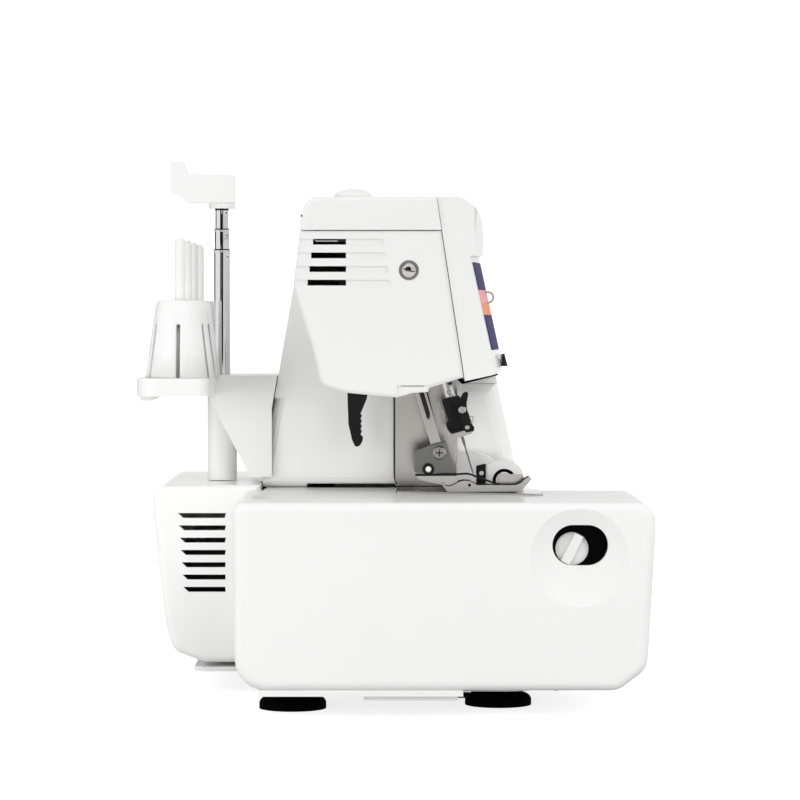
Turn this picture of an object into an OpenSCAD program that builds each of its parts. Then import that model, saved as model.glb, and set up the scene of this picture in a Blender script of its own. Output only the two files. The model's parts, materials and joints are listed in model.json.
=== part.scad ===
// Overlock sewing machine with a free arm, a flat bed attachment, a spool stand and a thread rod.
// Millimetres. +X is the machine's right as its user sits at it, +Y is its rear, +Z is up.
// The origin lies under the middle of the whole machine, at the underside of its feet.

/* [Lower body] */
// Width of the flat bed attachment, from its left face to the body
bed_w = 122.6; // [110:1:140]
// Width of the open deck between the attachment and the tower
deck_w = 27; // [22:1:40]
// Width of the tower and its side cover
tower_w = 155; // [140:1:180]
// Height of the sewing surface above the table
bed_top = 117.3; // [112:0.5:130]
// Height of the underside of the bed attachment
bed_bottom = 15; // [14:0.5:20]
// Distance of the attachment's front face from the middle of the machine
bed_front = 143.5; // [138:0.5:150]
// Distance of the attachment's rear face from the middle
bed_rear = 86; // [84:0.5:90]
// Wall of the plastic covers
wall = 3; // [2.5:0.1:3.5]
// Gap between covers that come apart
cover_gap = 0.4; // [0.3:0.05:0.6]
// Height of the motor housing's top
motor_top = 120.4; // [118:0.2:124]
// Distance of the motor housing's rear face from the middle
motor_rear = 138.6; // [135:0.5:141]
// Ventilation slots in each end of the motor housing
vent_count = 7; // [5:1:8]
// Distance between two ventilation slots
vent_pitch = 7.16; // [6:0.1:8]
// Height of one ventilation slot
vent_h = 2.9; // [2:0.1:3.5]

/* [Feet] */
// Diameter of a suction foot
foot_d = 37.4; // [34:0.2:40]
// Height of the suction cup
foot_cup_h = 7; // [6:0.2:8]
// Height of the bottom plate's underside
plate_z = 12; // [11:0.2:13]
// Thickness of the bottom plate
plate_t = 2.6; // [2:0.1:2.8]

/* [Tower and arm] */
// Reach of the arm over the deck, measured from the tower's left face
arm_reach = 105; // [98:1:112]
// Height of the arm's top
arm_top = 284.8; // [282:0.5:292]
// Depth of the top cover, from the arm's top to its parting line
top_cover_h = 18.8; // [16:0.2:22]
// Thickness of the arm's end cover
end_t = 8; // [7:0.5:10]
// Lean of the front panel and of the needle bar's parts, in degrees
panel_lean = 12.4; // [11:0.2:14]
// Louvres in the end cover
louvre_count = 4; // [3:1:5]
// Distance between two louvres
louvre_pitch = 7.55; // [7:0.05:8.2]
// Height of a louvre
louvre_h = 3.2; // [2.5:0.1:3.8]

/* [Sewing head] */
// Distance of the needle from the tower's left face
needle_out = 53; // [50:0.5:56]
// Distance of the needle's point in front of the middle at rest
needle_y = 46.9; // [46.5:0.1:47.4]
// Height of the needle's point above the sewing surface at rest
needle_up = 10.3; // [9:0.1:12]
// Lean of the needle bar from the vertical, in degrees
bar_lean = 16.6; // [16:0.1:17.2]
// Diameter of the needle bar
needle_bar_d = 6.2; // [5.8:0.1:6.8]
// Width of the flat presser bar, front to rear
presser_bar_w = 6; // [5.6:0.1:6.4]
// Thickness of the presser bar, left to right
presser_bar_t = 4; // [3.6:0.1:4.4]
// Thickness of the needle plate
needle_plate_t = 1.7; // [1.4:0.1:2.2]
// Height of the needle plate above the deck
needle_plate_up = 1; // [0.8:0.1:1.3]
// Width of the presser foot
presser_w = 20; // [18:0.5:22]

/* [Drive] */
// Diameter of the main shaft
shaft_d = 10; // [8:0.2:12]
// Height of the main shaft
shaft_z = 78; // [74:0.5:82]
// Diameter of the handwheel
handwheel_d = 68; // [60:1:74]
// Thickness of the handwheel
handwheel_t = 24; // [20:0.5:28]
// Diameter of the motor
motor_d = 50; // [44:1:54]
// Radius of the belt's run on the main shaft's pulley
big_pulley_r = 26; // [22:0.5:28]
// Radius of the belt's run on the motor's pulley
small_pulley_r = 6.5; // [6:0.1:8]
// Running clearance of the shafts in their bearings, on the radius
run_fit = 0.05; // [0.03:0.01:0.08]

/* [Spool stand] */
// Spool pins in the tray
pin_count = 4; // [3:1:4]
// Distance between two spool pins
pin_pitch = 58; // [50:1:60]
// Diameter of a spool pin
pin_d = 6; // [5:0.1:7]
// Height of a spool pin's end above the table
pin_top = 262.6; // [255:0.5:266]
// Distance of the tray's rear edge from the middle
tray_rear = 143.5; // [142:0.5:146]
// Height of the tray's rim
tray_rim = 183.5; // [182:0.5:186]
// Outside diameter of the thread rod's lower tube
rod_d = 9.6; // [9:0.1:10]
// Wall of the thread rod's tubes
rod_wall = 0.4; // [0.35:0.05:0.6]
// Height of the thread tree's underside
tree_bottom = 282.4; // [281:0.2:284]

/* [Hidden] */

// Stations along X, from the left face of the attachment to the outer face of the handwheel
wheel_gap = 1;
overall_w = bed_w + cover_gap + deck_w + tower_w + wheel_gap + handwheel_t;
x_left = -overall_w / 2;
x_bed = x_left + bed_w;
x_body = x_bed + cover_gap;
x_tower = x_body + deck_w;
x_right = x_tower + tower_w;
x_wheel = x_right + wheel_gap;
x_end = x_tower - arm_reach;
x_arm = x_end + end_t;
x_inner = x_right - end_t;
x_needle = x_tower - needle_out;
// Height of the parting line between the top cover and the covers under it
parting_z = arm_top - top_cover_h;

white = [0.95, 0.95, 0.95];
steel = [0.72, 0.73, 0.75];
black = [0.07, 0.07, 0.08];
eps = 0.01;
far = 400;

// ---------------------------------------------------------------------------------------------
// Outlines
// ---------------------------------------------------------------------------------------------

function unit(v) = v / norm(v);

// Turn of an outline at b: positive where the outline, run anticlockwise, bulges outwards
function turn(a, b, c) = (b[0] - a[0]) * (c[1] - b[1]) - (b[1] - a[1]) * (c[0] - b[0]);

// Points of one rounded corner at b, between a and c
function corner(a, b, c, r, n) =
  let (u = unit(a - b), w = unit(c - b), half = acos(max(-1, min(1, u * w))) / 2)
  r <= eps || half > 89 ? [b] :
  let (m = b + unit(u + w) * r / sin(half), s = b + u * r / tan(half) - m,
       e = b + w * r / tan(half) - m, sweep = 180 - 2 * half)
  [for (k = [0:n]) m + (s * sin(sweep * (1 - k / n)) + e * sin(sweep * k / n)) / sin(sweep)];

// An outline with rounded corners, from corners given as [across, up, radius]
function rounded(p, n = 6) =
  let (last = len(p) - 1)
  [for (i = [0:last])
    let (a = p[i == 0 ? last : i - 1], b = p[i], c = p[i == last ? 0 : i + 1])
    each corner([a[0], a[1]], [b[0], b[1]], [c[0], c[1]], b[2], n)];

// The same corners moved inwards by d, with the radii that a wall of that thickness has inside
function inset(p, d) =
  let (last = len(p) - 1)
  [for (i = [0:last])
    let (a = [p[i == 0 ? last : i - 1][0], p[i == 0 ? last : i - 1][1]], b = [p[i][0], p[i][1]],
         c = [p[i == last ? 0 : i + 1][0], p[i == last ? 0 : i + 1][1]],
         u = unit(a - b), w = unit(c - b), half = acos(max(-1, min(1, u * w))) / 2,
         side = turn(a, b, c) > 0 ? 1 : -1, across = half > 89 ? [-u[1], u[0]] : unit(u + w) * side,
         q = b + (half > 89 ? -across * d : across * d / sin(half)))
    [q[0], q[1], side > 0 ? max(p[i][2] - d, 0.3) : p[i][2] + d]];

// A (Y, Z) outline carried along X from x0 to x1
module along_x(x0, x1) {
  translate([x0, 0, 0]) rotate([90, 0, 90]) linear_extrude(x1 - x0) children();
}

// An (X, Z) outline carried along Y from y0 to y1
module along_y(y0, y1) {
  translate([0, y1, 0]) rotate([90, 0, 0]) linear_extrude(y1 - y0) children();
}

// An (X, Y) outline carried up from z0 to z1
module along_z(z0, z1) {
  translate([0, 0, z0]) linear_extrude(z1 - z0) children();
}

// A box between two corners
module block(a, b) {
  translate(a) cube(b - a);
}

// A cylinder along X, Y or Z
module rod_x(x0, x1, y, z, r, fn = 48) {
  translate([x0, y, z]) rotate([0, 90, 0]) cylinder(h = x1 - x0, r = r, $fn = fn);
}
module rod_y(y0, y1, x, z, r, fn = 48) {
  translate([x, y1, z]) rotate([90, 0, 0]) cylinder(h = y1 - y0, r = r, $fn = fn);
}
module rod_z(z0, z1, x, y, r, fn = 48) {
  translate([x, y, z0]) cylinder(h = z1 - z0, r = r, $fn = fn);
}

// A slot with round ends, centred at the origin in the plane, long along the first axis
module stadium(length, width) {
  square([length - width, width], center = true);
  for (s = [-1, 1]) translate([s * (length - width) / 2, 0]) circle(d = width, $fn = 32);
}

// A convex body along X whose left end is rounded by r: the outline grows in n steps from that end
module soft_end(p, x0, x1, r, n = 5) {
  hull() for (k = [0:n]) let (a = 90 * k / n)
    along_x(x0 + r * (1 - cos(a)), x1) polygon(rounded(inset(p, r * (1 - sin(a)))));
}

// ---------------------------------------------------------------------------------------------
// Feet and bottom plate
// ---------------------------------------------------------------------------------------------

// Places of the feet: two under the attachment, two under the tower
feet_at = [[x_bed - 57.1, -60], [x_bed - 73.6, 55], [x_inner - 22, -60], [x_inner - 22, 60]];
foot_screw_d = 5;
// Height of the counterbore's floor in the cup, where the screw's head sits
screw_seat = 4;
plate_top = plate_z + plate_t;

module base_plate() {
  color([0.8, 0.8, 0.8]) difference() {
    union() {
      along_z(plate_z, plate_top) polygon(rounded([
        [x_bed - 98, -82, 18], [x_bed, -82, 2], [x_bed, -98, 6], [x_inner, -98, 8], [x_inner, 115, 8],
        [x_body, 115, 8], [x_body, 76, 2], [x_bed - 98, 76, 18]]));
      for (f = feet_at) rod_z(plate_top - eps, plate_top + 6, f[0], f[1], foot_screw_d + 1);
      for (x = hinge_x) block([x, looper_hinge[0] - 4, plate_z], [x + 5, -96, looper_hinge[1] + 4]);
    }
    for (x = hinge_x) rod_x(x - 1, x + 6, looper_hinge[0], looper_hinge[1], hinge_r);
    for (f = feet_at) rod_z(plate_z - 1, plate_top + 7, f[0], f[1], foot_screw_d / 2);
    for (i = [0:7]) block([x_body + 20 + i * 12, -30, plate_z - 1], [x_body + 25 + i * 12, 20, plate_top + 1]);
  }
}

module feet() {
  color(black) for (f = feet_at) translate([f[0], f[1], 0]) difference() {
    rotate_extrude($fn = 64) polygon(concat(
      [[foot_screw_d / 2 + 0.3, 2], [foot_d / 2 - 5, 2], [foot_d / 2 - 1.4, 0], [foot_d / 2, 0]],
      [for (a = [0:15:90]) [foot_d / 2 - 6 + 6 * cos(a), foot_cup_h - 4 + 4 * sin(a)]],
      [[9, foot_cup_h + 0.6], [8, plate_z], [foot_screw_d / 2 + 0.3, plate_z]]));
    rod_z(-1, screw_seat, 0, 0, foot_screw_d + 0.5, 32);
  }
}

module foot_screws() {
  color(steel) for (f = feet_at) translate([f[0], f[1], 0]) difference() {
    union() {
      rod_z(screw_seat - 2.3, screw_seat, 0, 0, foot_screw_d);
      rod_z(screw_seat - 0.1, plate_top + 8, 0, 0, foot_screw_d / 2 - run_fit);
    }
    block([-foot_screw_d, -0.5, 0], [foot_screw_d, 0.5, screw_seat - 1.3]);
    block([-0.5, -foot_screw_d, 0], [0.5, foot_screw_d, screw_seat - 1.3]);
  }
}

// ---------------------------------------------------------------------------------------------
// Lower body
// ---------------------------------------------------------------------------------------------

body_front = 76;
body_rear = 76;
deck_skin = wall;
shaft_y = 12;
motor_y = 104;
motor_z = 62;
belt_x = x_inner - 30;

body_outline = [[body_rear, plate_top, 3], [body_rear, bed_top, 3], [-body_front, bed_top, 3],
    [-body_front, plate_top, 3]];

// Curved collar of the deck in front of the tower, beside the knives
collar_r = 18;
collar_y = -56;
collar_top = bed_top + 21.9;
// Thickness of the polished plate on the tower's left face
panel_t = 1.2;

module lower_body() {
  color(white) difference() {
    union() {
      difference() {
        along_x(x_body, x_inner - cover_gap) polygon(rounded(body_outline));
        along_x(x_body + wall, x_inner + 1) polygon(rounded(inset(body_outline, wall)));
        // underside, closed by the bottom plate
        block([x_body + wall, -body_front + wall, 0], [x_inner + 1, body_rear - wall, plate_top + wall + 1]);
      }
      intersection() {
        rod_z(bed_top - deck_skin, collar_top, x_tower, collar_y, collar_r, 96);
        along_x(x_tower - collar_r - 1, x_tower - panel_t - cover_gap) polygon(rounded([
          [-80, bed_top - deck_skin, 0], [-30, bed_top - deck_skin, 0], [-30, collar_top, 0],
          [collar_y, collar_top, 20], [collar_y - 16, bed_top + 4, 20], [-80, bed_top + 2, 1]]));
      }
    }
    // hollow of the collar
    rod_z(bed_top - deck_skin - 1, collar_top - wall, x_tower, collar_y, collar_r - wall, 96);
    // way for the belt into the motor housing
    block([right_plate_x - 1, body_rear - wall - 1, motor_z - 36], [belt_x + 14, body_rear + 1, motor_z + 44]);
    // way for the shaft and the looper rods into the free arm
    block([x_body - 1, shaft_y - 12, shaft_z - 12], [x_body + wall + 1, shaft_y + 12, shaft_z + 12]);
    block([x_body - 1, -body_front + wall + 0.1, 40], [x_body + wall + 1, -24, 108]);
    // inside of the tower opens to the body
    block([x_tower + wall, -50, bed_top - deck_skin - 1], [x_inner - wall, 50, bed_top + 1]);
    // seat of the needle plate
    block([x_body - 1, -44.4, bed_top - needle_plate_t + needle_plate_up], [x_tower, -2.6, bed_top + 1]);
  }
}

motor_case = [
  [109, bed_bottom + 2, 10], [127, 24, 9], [motor_rear - 7, 40, 30], [motor_rear, 104, 30],
      [motor_rear - 0.5, motor_top, 8],
  [body_rear + cover_gap, motor_top, 1], [body_rear + cover_gap, bed_bottom + 2, 1]];

vent_z = 101.2;
vent_y = [96, 124];

module rear_cover() {
  color(white) difference() {
    soft_end(motor_case, x_body, x_inner - 12, 4);
    along_x(x_body + wall, x_inner - 12 - wall) polygon(rounded(inset(motor_case, wall)));
    block([x_body + 20, body_rear, motor_z - 36], [x_inner - 20, body_rear + wall + 2, motor_z + 46]);
    for (i = [0:vent_count - 1]) along_x(x_body - 1, x_inner) translate([0, vent_z - i * vent_pitch])
      polygon([[vent_y[0] + 1 - i * 0.1, 0], [vent_y[0] + i * 0.1, vent_h], [vent_y[1] - i * 0.5, vent_h],
          [vent_y[1] - 3 - i * 0.5, 0]]);
  }
}

// ---------------------------------------------------------------------------------------------
// Tower and arm
// ---------------------------------------------------------------------------------------------

// Seam between the end cover and the front panel, as [y, z] from its foot to its top
seam = [[-41, 181.3], [-28.1, parting_z - cover_gap], [-25.3, arm_top]];

// Outline of the arm behind the front panel
arm_outline = [
  [-40.1, 184.6, 0.5], [-20.9, 178.5, 1], [-2.8, 173.2, 2], [24.1, 175.7, 8], [39.1, 180.2, 6], [43.5, 199.6, 30],
  [54.6, 234, 30], [50.7, parting_z, 8], [48, arm_top, 9], [-25.3, arm_top, 0.5],
  [-28.1 + cover_gap, parting_z - cover_gap, 4]];

// Corners of the tower's rear edge, low and high
rear_low = [75.4, 132.5];
rear_high = [65.1, 192.5];

// Foot of the tower, from the deck to its shoulders
shoulder_z = 180;
tower_foot = [
  [-75, bed_top, 1], [78.5, bed_top, 1], [rear_low[0], rear_low[1], 20], [tower_rear(shoulder_z), shoulder_z, 1],
  [-62.2, shoulder_z, 1], [-71.8, 136.5, 20]];
// Radius of the soft edge round the tower's left face
tower_soft = 9;

// Outline of the tower above its foot
tower_outline = [
  [-41 + cover_gap, 170, 0.5], [tower_rear(170), 170, 0.5], [rear_high[0], rear_high[1], 30], [58, 233.7, 30],
  [51, parting_z, 8], [48, arm_top, 9], [-25.3, arm_top, 0.5], [-28.1 + cover_gap, parting_z - cover_gap, 4],
  [-41 + cover_gap, 180.7, 0.5]];

module under_parting() {
  intersection() {
    children();
    block([-far, -far, 0], [far, far, parting_z - cover_gap / 2]);
  }
}

module arm_cover() {
  color(white) under_parting() difference() {
    union() {
      along_x(x_arm, x_tower + wall) polygon(rounded(arm_outline));
      difference() {
        union() {
          along_x(x_tower, x_inner - cover_gap) polygon(rounded(tower_outline));
          soft_end(tower_foot, x_tower, x_inner - cover_gap, tower_soft);
          // shoulder under the front panel
          along_x(x_tower, x_inner - cover_gap) polygon([
            [-62.2, shoulder_z - 1], [-41 + cover_gap, shoulder_z - 1], [-41 + cover_gap, 180.7], [-60.8, 186.4]]);
        }
        along_x(x_tower + wall, x_inner + 1) polygon(rounded(inset(tower_outline, wall)));
        along_x(x_tower + wall, x_inner + 1) polygon(rounded(inset(tower_foot, 2 * wall)));
        along_x(x_tower + tower_soft, x_inner + 1) polygon(rounded(inset(tower_foot, wall)));
      }
    }
    along_x(x_arm - 1, x_tower + wall + 1) polygon(rounded(inset(arm_outline, wall)));
    // corner of the motor housing under the rear wall
    block([x_tower - 1, body_rear, bed_top - 1], [x_inner + 1, far, motor_top + cover_gap]);
    // floor of the tower is open to the body
    block([x_tower + wall, -50, bed_top - 1], [x_inner - wall, 50, bed_top + wall + 1]);
    // front is open behind the front panel
    block([x_arm + 4, -80, shoulder_z + 14], [x_inner - 4, -20, parting_z - 8]);
    head_openings();
  }
}

// Slots in the arm's underside for the needle bar, the presser bar and the lifter
module head_openings() {
  on_bar() block([-9, -11, 20], [9, 11, 75]);
  on_presser() block([-6, -8, 20], [6, 8, 75]);
  block([lever_x - 6, 2, 160], [lever_x + 6, 70, 202]);
  block(lamp_low - [0.3, 0.3, 5], lamp_high + [0.3, 0.3, 5]);
}

module top_cover() {
  low = parting_z + cover_gap / 2;
  color(white) difference() {
    intersection() {
      soft_end([[-40, low - 20, 0.5], [54, low - 20, 0.5], [48, arm_top, 9], [-40, arm_top, 0.5]], x_end, x_right, 3);
      // behind the front panel and above the parting line
      along_x(x_end - 1, x_right + 1)
        polygon([[-28.1 + cover_gap, low], [60, low], [60, arm_top + 1], [-25.3 + cover_gap, arm_top + 1]]);
    }
    along_x(x_end + wall, x_right - wall) polygon([
      [cover_gap + wall - 28.1, low - 1], [50.6 - wall, low - 1], [48.6 - wall, arm_top - 8], [41, arm_top - wall],
      [cover_gap + wall - 25.3, arm_top - wall]]);
    pressure_hole();
  }
}

pressure_x = x_needle + 10;
pressure_y = 22;
pressure_knob_r = 11;

module pressure_hole() {
  rod_z(arm_top - wall - 1, arm_top + 1, pressure_x, pressure_y, pressure_knob_r - 2 + 0.5);
}

// Outline of the end cover, under the top cover and behind the front panel
end_outline = [
  [-40.1, 184.4, 0.5], [-20.9, 178.5, 0.5], [-20.3, 176.3, 0.5], [-12, 175.7, 0.5], [-2.8, 173.2, 1],
  [24.1, 175.7, 4], [39.1, 180.2, 6], [43.5, 199.6, 20], [54.6, 234, 20], [50.9, parting_z - cover_gap / 2, 0.5],
  [-28.1 + cover_gap, parting_z - cover_gap / 2, 0.5]];

louvre_z = parting_z - 8;
louvre_rear = 56;
end_screw = [-9.7, 243.8];

module side_cover() {
  color(white) difference() {
    union() {
      along_x(x_end + 2, x_arm - cover_gap) polygon(rounded(end_outline));
      along_x(x_end + 1, x_end + 3) polygon(rounded(inset(end_outline, 0.5)));
      along_x(x_end, x_end + 2) polygon(rounded(inset(end_outline, 1.4)));
    }
    along_x(x_end + wall, x_arm + 1) polygon(rounded(inset(end_outline, wall)));
    for (i = [0:louvre_count - 1]) {
      z = louvre_z - i * louvre_pitch;
      along_x(x_end - 1, x_end + 1.2) polygon([[4.8 - i * 1.4, z], [4.8 - i * 1.4, z + louvre_h],
          [louvre_rear + 4, z + louvre_h], [louvre_rear + 4, z]]);
      along_x(x_end - 1, x_arm) polygon([[25.2, z], [25.2, z + louvre_h], [43.5 + i, z + louvre_h], [43.5 + i, z]]);
    }
    rod_x(x_end - 1, x_end + 1.4, end_screw[0], end_screw[1], 5.6);
    rod_x(x_end - 1, x_arm, end_screw[0], end_screw[1], 2.1);
    block([x_end - 1, -20.3, 170], [x_end + 1.2, -3, 180]);
  }
}

module side_cover_screw() {
  color(steel) difference() {
    union() {
      rod_x(x_end + 0.1, x_end + 1.4, end_screw[0], end_screw[1], 4.2);
      rod_x(x_end + 1.3, x_arm + 10, end_screw[0], end_screw[1], 2);
    }
    block([x_end - 1, end_screw[0] - 5, end_screw[1] - 0.5], [x_end + 0.8, end_screw[0] + 5, end_screw[1] + 0.5]);
  }
}

// ---------------------------------------------------------------------------------------------
// Front panel with its tension dials
// ---------------------------------------------------------------------------------------------

panel_x0 = x_end + 1.5;
panel_x1 = x_right;
panel_foot = [-57.9, 186];
panel_bulge = 8;
dial_count = 4;
dial_x = [for (i = [0:dial_count - 1]) x_end + 70 + i * 42];
dial_r = 17;
dial_t = 9;
dial_z = arm_top - 56.8;
// How far the dials' fronts stay behind the middle of the panel's bulge
dial_back = 1.5;

// Front edge of the panel in plan, bulging between its ends
function panel_edge(n) = [for (k = [0:n]) let (u = 2 * k / n - 1) [panel_x0 + (panel_x1 - panel_x0) * k / n,
    -panel_bulge * (1 - pow(abs(u), 2.6))]];

// Turns a shape that is drawn upright into the panel's lean
module leaning() {
  translate([0, panel_foot[0], panel_foot[1]]) rotate([-panel_lean, 0, 0]) children();
}

module panel_body(front) {
  leaning() linear_extrude(88) polygon(concat([for (p = panel_edge(20)) p + [0, front]], [[panel_x1, 40],
      [panel_x0, 40]]));
}

module front_panel() {
  color(white) difference() {
    intersection() {
      union() {
        panel_body(0);
        brow();
      }
      // foot of the panel, seam and top
      along_x(x_end, x_right + 1) polygon(concat(seam, [[-38, arm_top], [-80, arm_top], [-80, 200], [-65.5, 200],
          [-62.5, 187.5]]));
    }
    panel_hollow();
    for (x = dial_x) dial_window(x);
  }
  // shaft that carries the dials
  color(steel) rod_x(dial_x[0] - dial_t / 2 - 2, x_right - wall, dial_y, dial_z, dial_bore_r - run_fit);
}

dial_bore_r = 2.5;

// Rounded brow along the panel's top
module brow() {
  intersection() {
    along_z(252, arm_top) polygon(concat([for (p = panel_edge(20)) p + [0, -46.1]], [[panel_x1, 0], [panel_x0, 0]]));
    along_x(panel_x0, panel_x1) polygon(rounded([
      [-20, 252, 0], [-20, arm_top, 0], [-39, arm_top, 9], [-50.5, 276, 10], [-54.5, 262, 8], [-52, 252, 3]]));
  }
}

module panel_hollow() {
  intersection() {
    panel_body(wall);
    along_x(x_arm, x_right - wall) polygon([
      [-41, 190], [-28.1, 265.6], [-20, 265.6], [-20, arm_top - wall], [-36, arm_top - wall], [-46, 272],
          [-80, 250], [-80, 190]]);
  }
}

// Where the dials' shaft lies
dial_y = panel_foot[0] - panel_bulge + (dial_z - panel_foot[1]) * tan(panel_lean) + dial_back + dial_r;

// Opening of the panel for a dial
module dial_window(x) {
  block([x - dial_t / 2 - 1, -80, dial_z - dial_r - 1],
      [x + dial_t / 2 + 1, dial_y + dial_r + 1, dial_z + dial_r + 1]);
}

module tension_dial(i) {
  x = dial_x[i];
  grip = 1.6;
  color([[0.45, 0.65, 0.3], [0.9, 0.55, 0.65], [0.3, 0.45, 0.75], [0.95, 0.8, 0.3]][i]) difference() {
    union() {
      rod_x(x - dial_t / 2, x + dial_t / 2, dial_y, dial_z, dial_r - 1, 96);
      for (a = [0:20:340])
        translate([x - dial_t / 2 + 0.6, dial_y, dial_z]) rotate([a, 0, 0]) translate([0, -grip / 2, 0])
          cube([dial_t - 1.2, grip, dial_r]);
    }
    rod_x(x - dial_t, x + dial_t, dial_y, dial_z, dial_bore_r);
  }
}
module tension_dial_1() { tension_dial(0); }
module tension_dial_2() { tension_dial(1); }
module tension_dial_3() { tension_dial(2); }
module tension_dial_4() { tension_dial(3); }

// Thickness of the coloured strip
strip_t = 0.4;

module colour_strip() {
  color([0.1, 0.08, 0.3]) intersection() {
    difference() {
      panel_body(-strip_t);
      panel_body(0);
    }
    block([panel_x0 + 6, -90, 199.5], [dial_x[0] - dial_t / 2 - 8, -30, 248.5]);
  }
}

// ---------------------------------------------------------------------------------------------
// Right cover and what it carries
// ---------------------------------------------------------------------------------------------

right_outline = [
  [body_rear, plate_top, 4], [78.5, bed_top, 2], [75.4, 132.5, 20], [rear_high[0], rear_high[1], 30], [58, 233.7, 30],
  [51, parting_z - cover_gap / 2, 0.5], [-28.1 + cover_gap, parting_z - cover_gap / 2, 0.5],
      [-41 + cover_gap, 180.7, 0.5],
  [-60.8, 186.4, 1], [-71.8, 136.5, 20], [-body_front, bed_top, 6], [-body_front, plate_top, 4]];

length_dial = [-50, 92];
length_dial_r = 13;
lever_slot = [-50, 44];
switch_at = [60, 34];
switch_size = [12, 20];
inlet_at = [60, 68];
inlet_size = [18, 24];

module right_cover() {
  color(white) difference() {
    union() {
      along_x(x_inner, x_right - 2) polygon(rounded(right_outline));
      along_x(x_right - 2.5, x_right - 1) polygon(rounded(inset(right_outline, 0.5)));
      along_x(x_right - 1.5, x_right) polygon(rounded(inset(right_outline, 1.4)));
    }
    along_x(x_inner - 1, x_right - wall) polygon(rounded(inset(right_outline, wall)));
    rod_x(x_right - wall - 1, x_right + 1, shaft_y, shaft_z, shaft_d / 2 + 1.5);
    rod_x(x_right - wall - 1, x_right + 1, length_dial[0], length_dial[1], length_dial_r - 3);
    block([x_right - wall - 1, lever_slot[0] - 3, lever_slot[1] - 16],
        [x_right + 1, lever_slot[0] + 3, lever_slot[1] + 16]);
    block([x_right - wall - 1, switch_at[0] - switch_size[0] / 2, switch_at[1] - switch_size[1] / 2],
          [x_right + 1, switch_at[0] + switch_size[0] / 2, switch_at[1] + switch_size[1] / 2]);
    block([x_right - wall - 1, inlet_at[0] - inlet_size[0] / 2, inlet_at[1] - inlet_size[1] / 2],
          [x_right + 1, inlet_at[0] + inlet_size[0] / 2, inlet_at[1] + inlet_size[1] / 2]);
  }
  // frame that carries the switch
  color(white) difference() {
    block([x_right - 9, switch_at[0] - switch_size[0] / 2 - 2.4, switch_at[1] - switch_size[1] / 2 - 2],
          [x_right - wall, switch_at[0] + switch_size[0] / 2 + 2.4, switch_at[1] + switch_size[1] / 2 + 2]);
    block([x_right - 10, switch_at[0] - switch_size[0] / 2, switch_at[1] - switch_size[1] / 2],
          [x_right, switch_at[0] + switch_size[0] / 2, switch_at[1] + switch_size[1] / 2]);
    rod_y(switch_at[0] - 9, switch_at[0] + 9, x_right - 6, switch_at[1], 1.5);
  }
}

module stitch_length_dial() {
  color(white) difference() {
    union() {
      rod_x(x_right - wall - 4, x_right + 1, length_dial[0], length_dial[1], length_dial_r - 3.4);
      rod_x(x_right + 0.3, x_right + 9, length_dial[0], length_dial[1], length_dial_r);
    }
    for (a = [0:20:340]) rod_x(x_right + 2, x_right + 10, length_dial[0] + (length_dial_r + 0.6) * cos(a),
        length_dial[1] + (length_dial_r + 0.6) * sin(a), 1.4, 24);
  }
}

lever_pivot_x = x_right - 22;

module differential_lever() {
  color(black) {
    along_y(lever_slot[0] - 2.2, lever_slot[0] + 2.2) polygon([
      [lever_pivot_x, lever_slot[1] - 5], [x_right + 9, lever_slot[1] - 2.5], [x_right + 9, lever_slot[1] + 2.5],
      [lever_pivot_x, lever_slot[1] + 5]]);
    rod_y(lever_slot[0] - 5, lever_slot[0] + 5, lever_pivot_x, lever_slot[1], 5);
    block([x_right + 4, lever_slot[0] - 4, lever_slot[1] - 3], [x_right + 11, lever_slot[0] + 4, lever_slot[1] + 3]);
  }
  color(steel) rod_y(lever_slot[0] + 4, -35.5, lever_pivot_x, lever_slot[1], 2.5 - run_fit);
}

module power_switch() {
  w = switch_size[0] / 2 - 0.5;
  h = switch_size[1] / 2 - 0.6;
  color(black) {
    translate([x_right - 6, switch_at[0], switch_at[1]]) along_y(-w, w) polygon([
      [-3, -h + 3], [3.5, -h], [8, -h + 1.2], [6.3, 0], [6.5, h - 1], [2.6, h], [-3, h - 3]]);
    rod_y(switch_at[0] - w - 2, switch_at[0] + w + 2, x_right - 6, switch_at[1], 1.5 - run_fit);
  }
}

module power_inlet() {
  y = inlet_at[0];
  z = inlet_at[1];
  color(black) difference() {
    union() {
      block([x_right - 22, y - inlet_size[0] / 2 + 0.1, z - inlet_size[1] / 2 + 0.1],
          [x_right, y + inlet_size[0] / 2 - 0.1, z + inlet_size[1] / 2 - 0.1]);
      // rim outside the cover
      block([x_right, y - inlet_size[0] / 2 - 2, z - inlet_size[1] / 2 - 2],
          [x_right + 1.5, y + inlet_size[0] / 2 + 2, z + inlet_size[1] / 2 + 2]);
    }
    block([x_right - 16, y - 6, z - 9], [x_right + 2, y + 6, z + 9]);
  }
  color(steel) for (s = [-5, 0, 5]) rod_x(x_right - 16.5, x_right - 4, y, z + s, 1.1, 24);
}

// ---------------------------------------------------------------------------------------------
// Casting, shaft, belt and motor
// ---------------------------------------------------------------------------------------------

bush_wall = 3;
bush_r = shaft_d / 2 + run_fit + bush_wall;
left_plate_x = x_body + 16;
column_x = x_tower + 30;
right_plate_x = belt_x - 18;
plate_w = 7;
casting_top = arm_top - 62.8;
looper_axis_z = 52;
lower_looper_x = x_needle + 8;
upper_looper_x = x_needle + 22;

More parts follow.
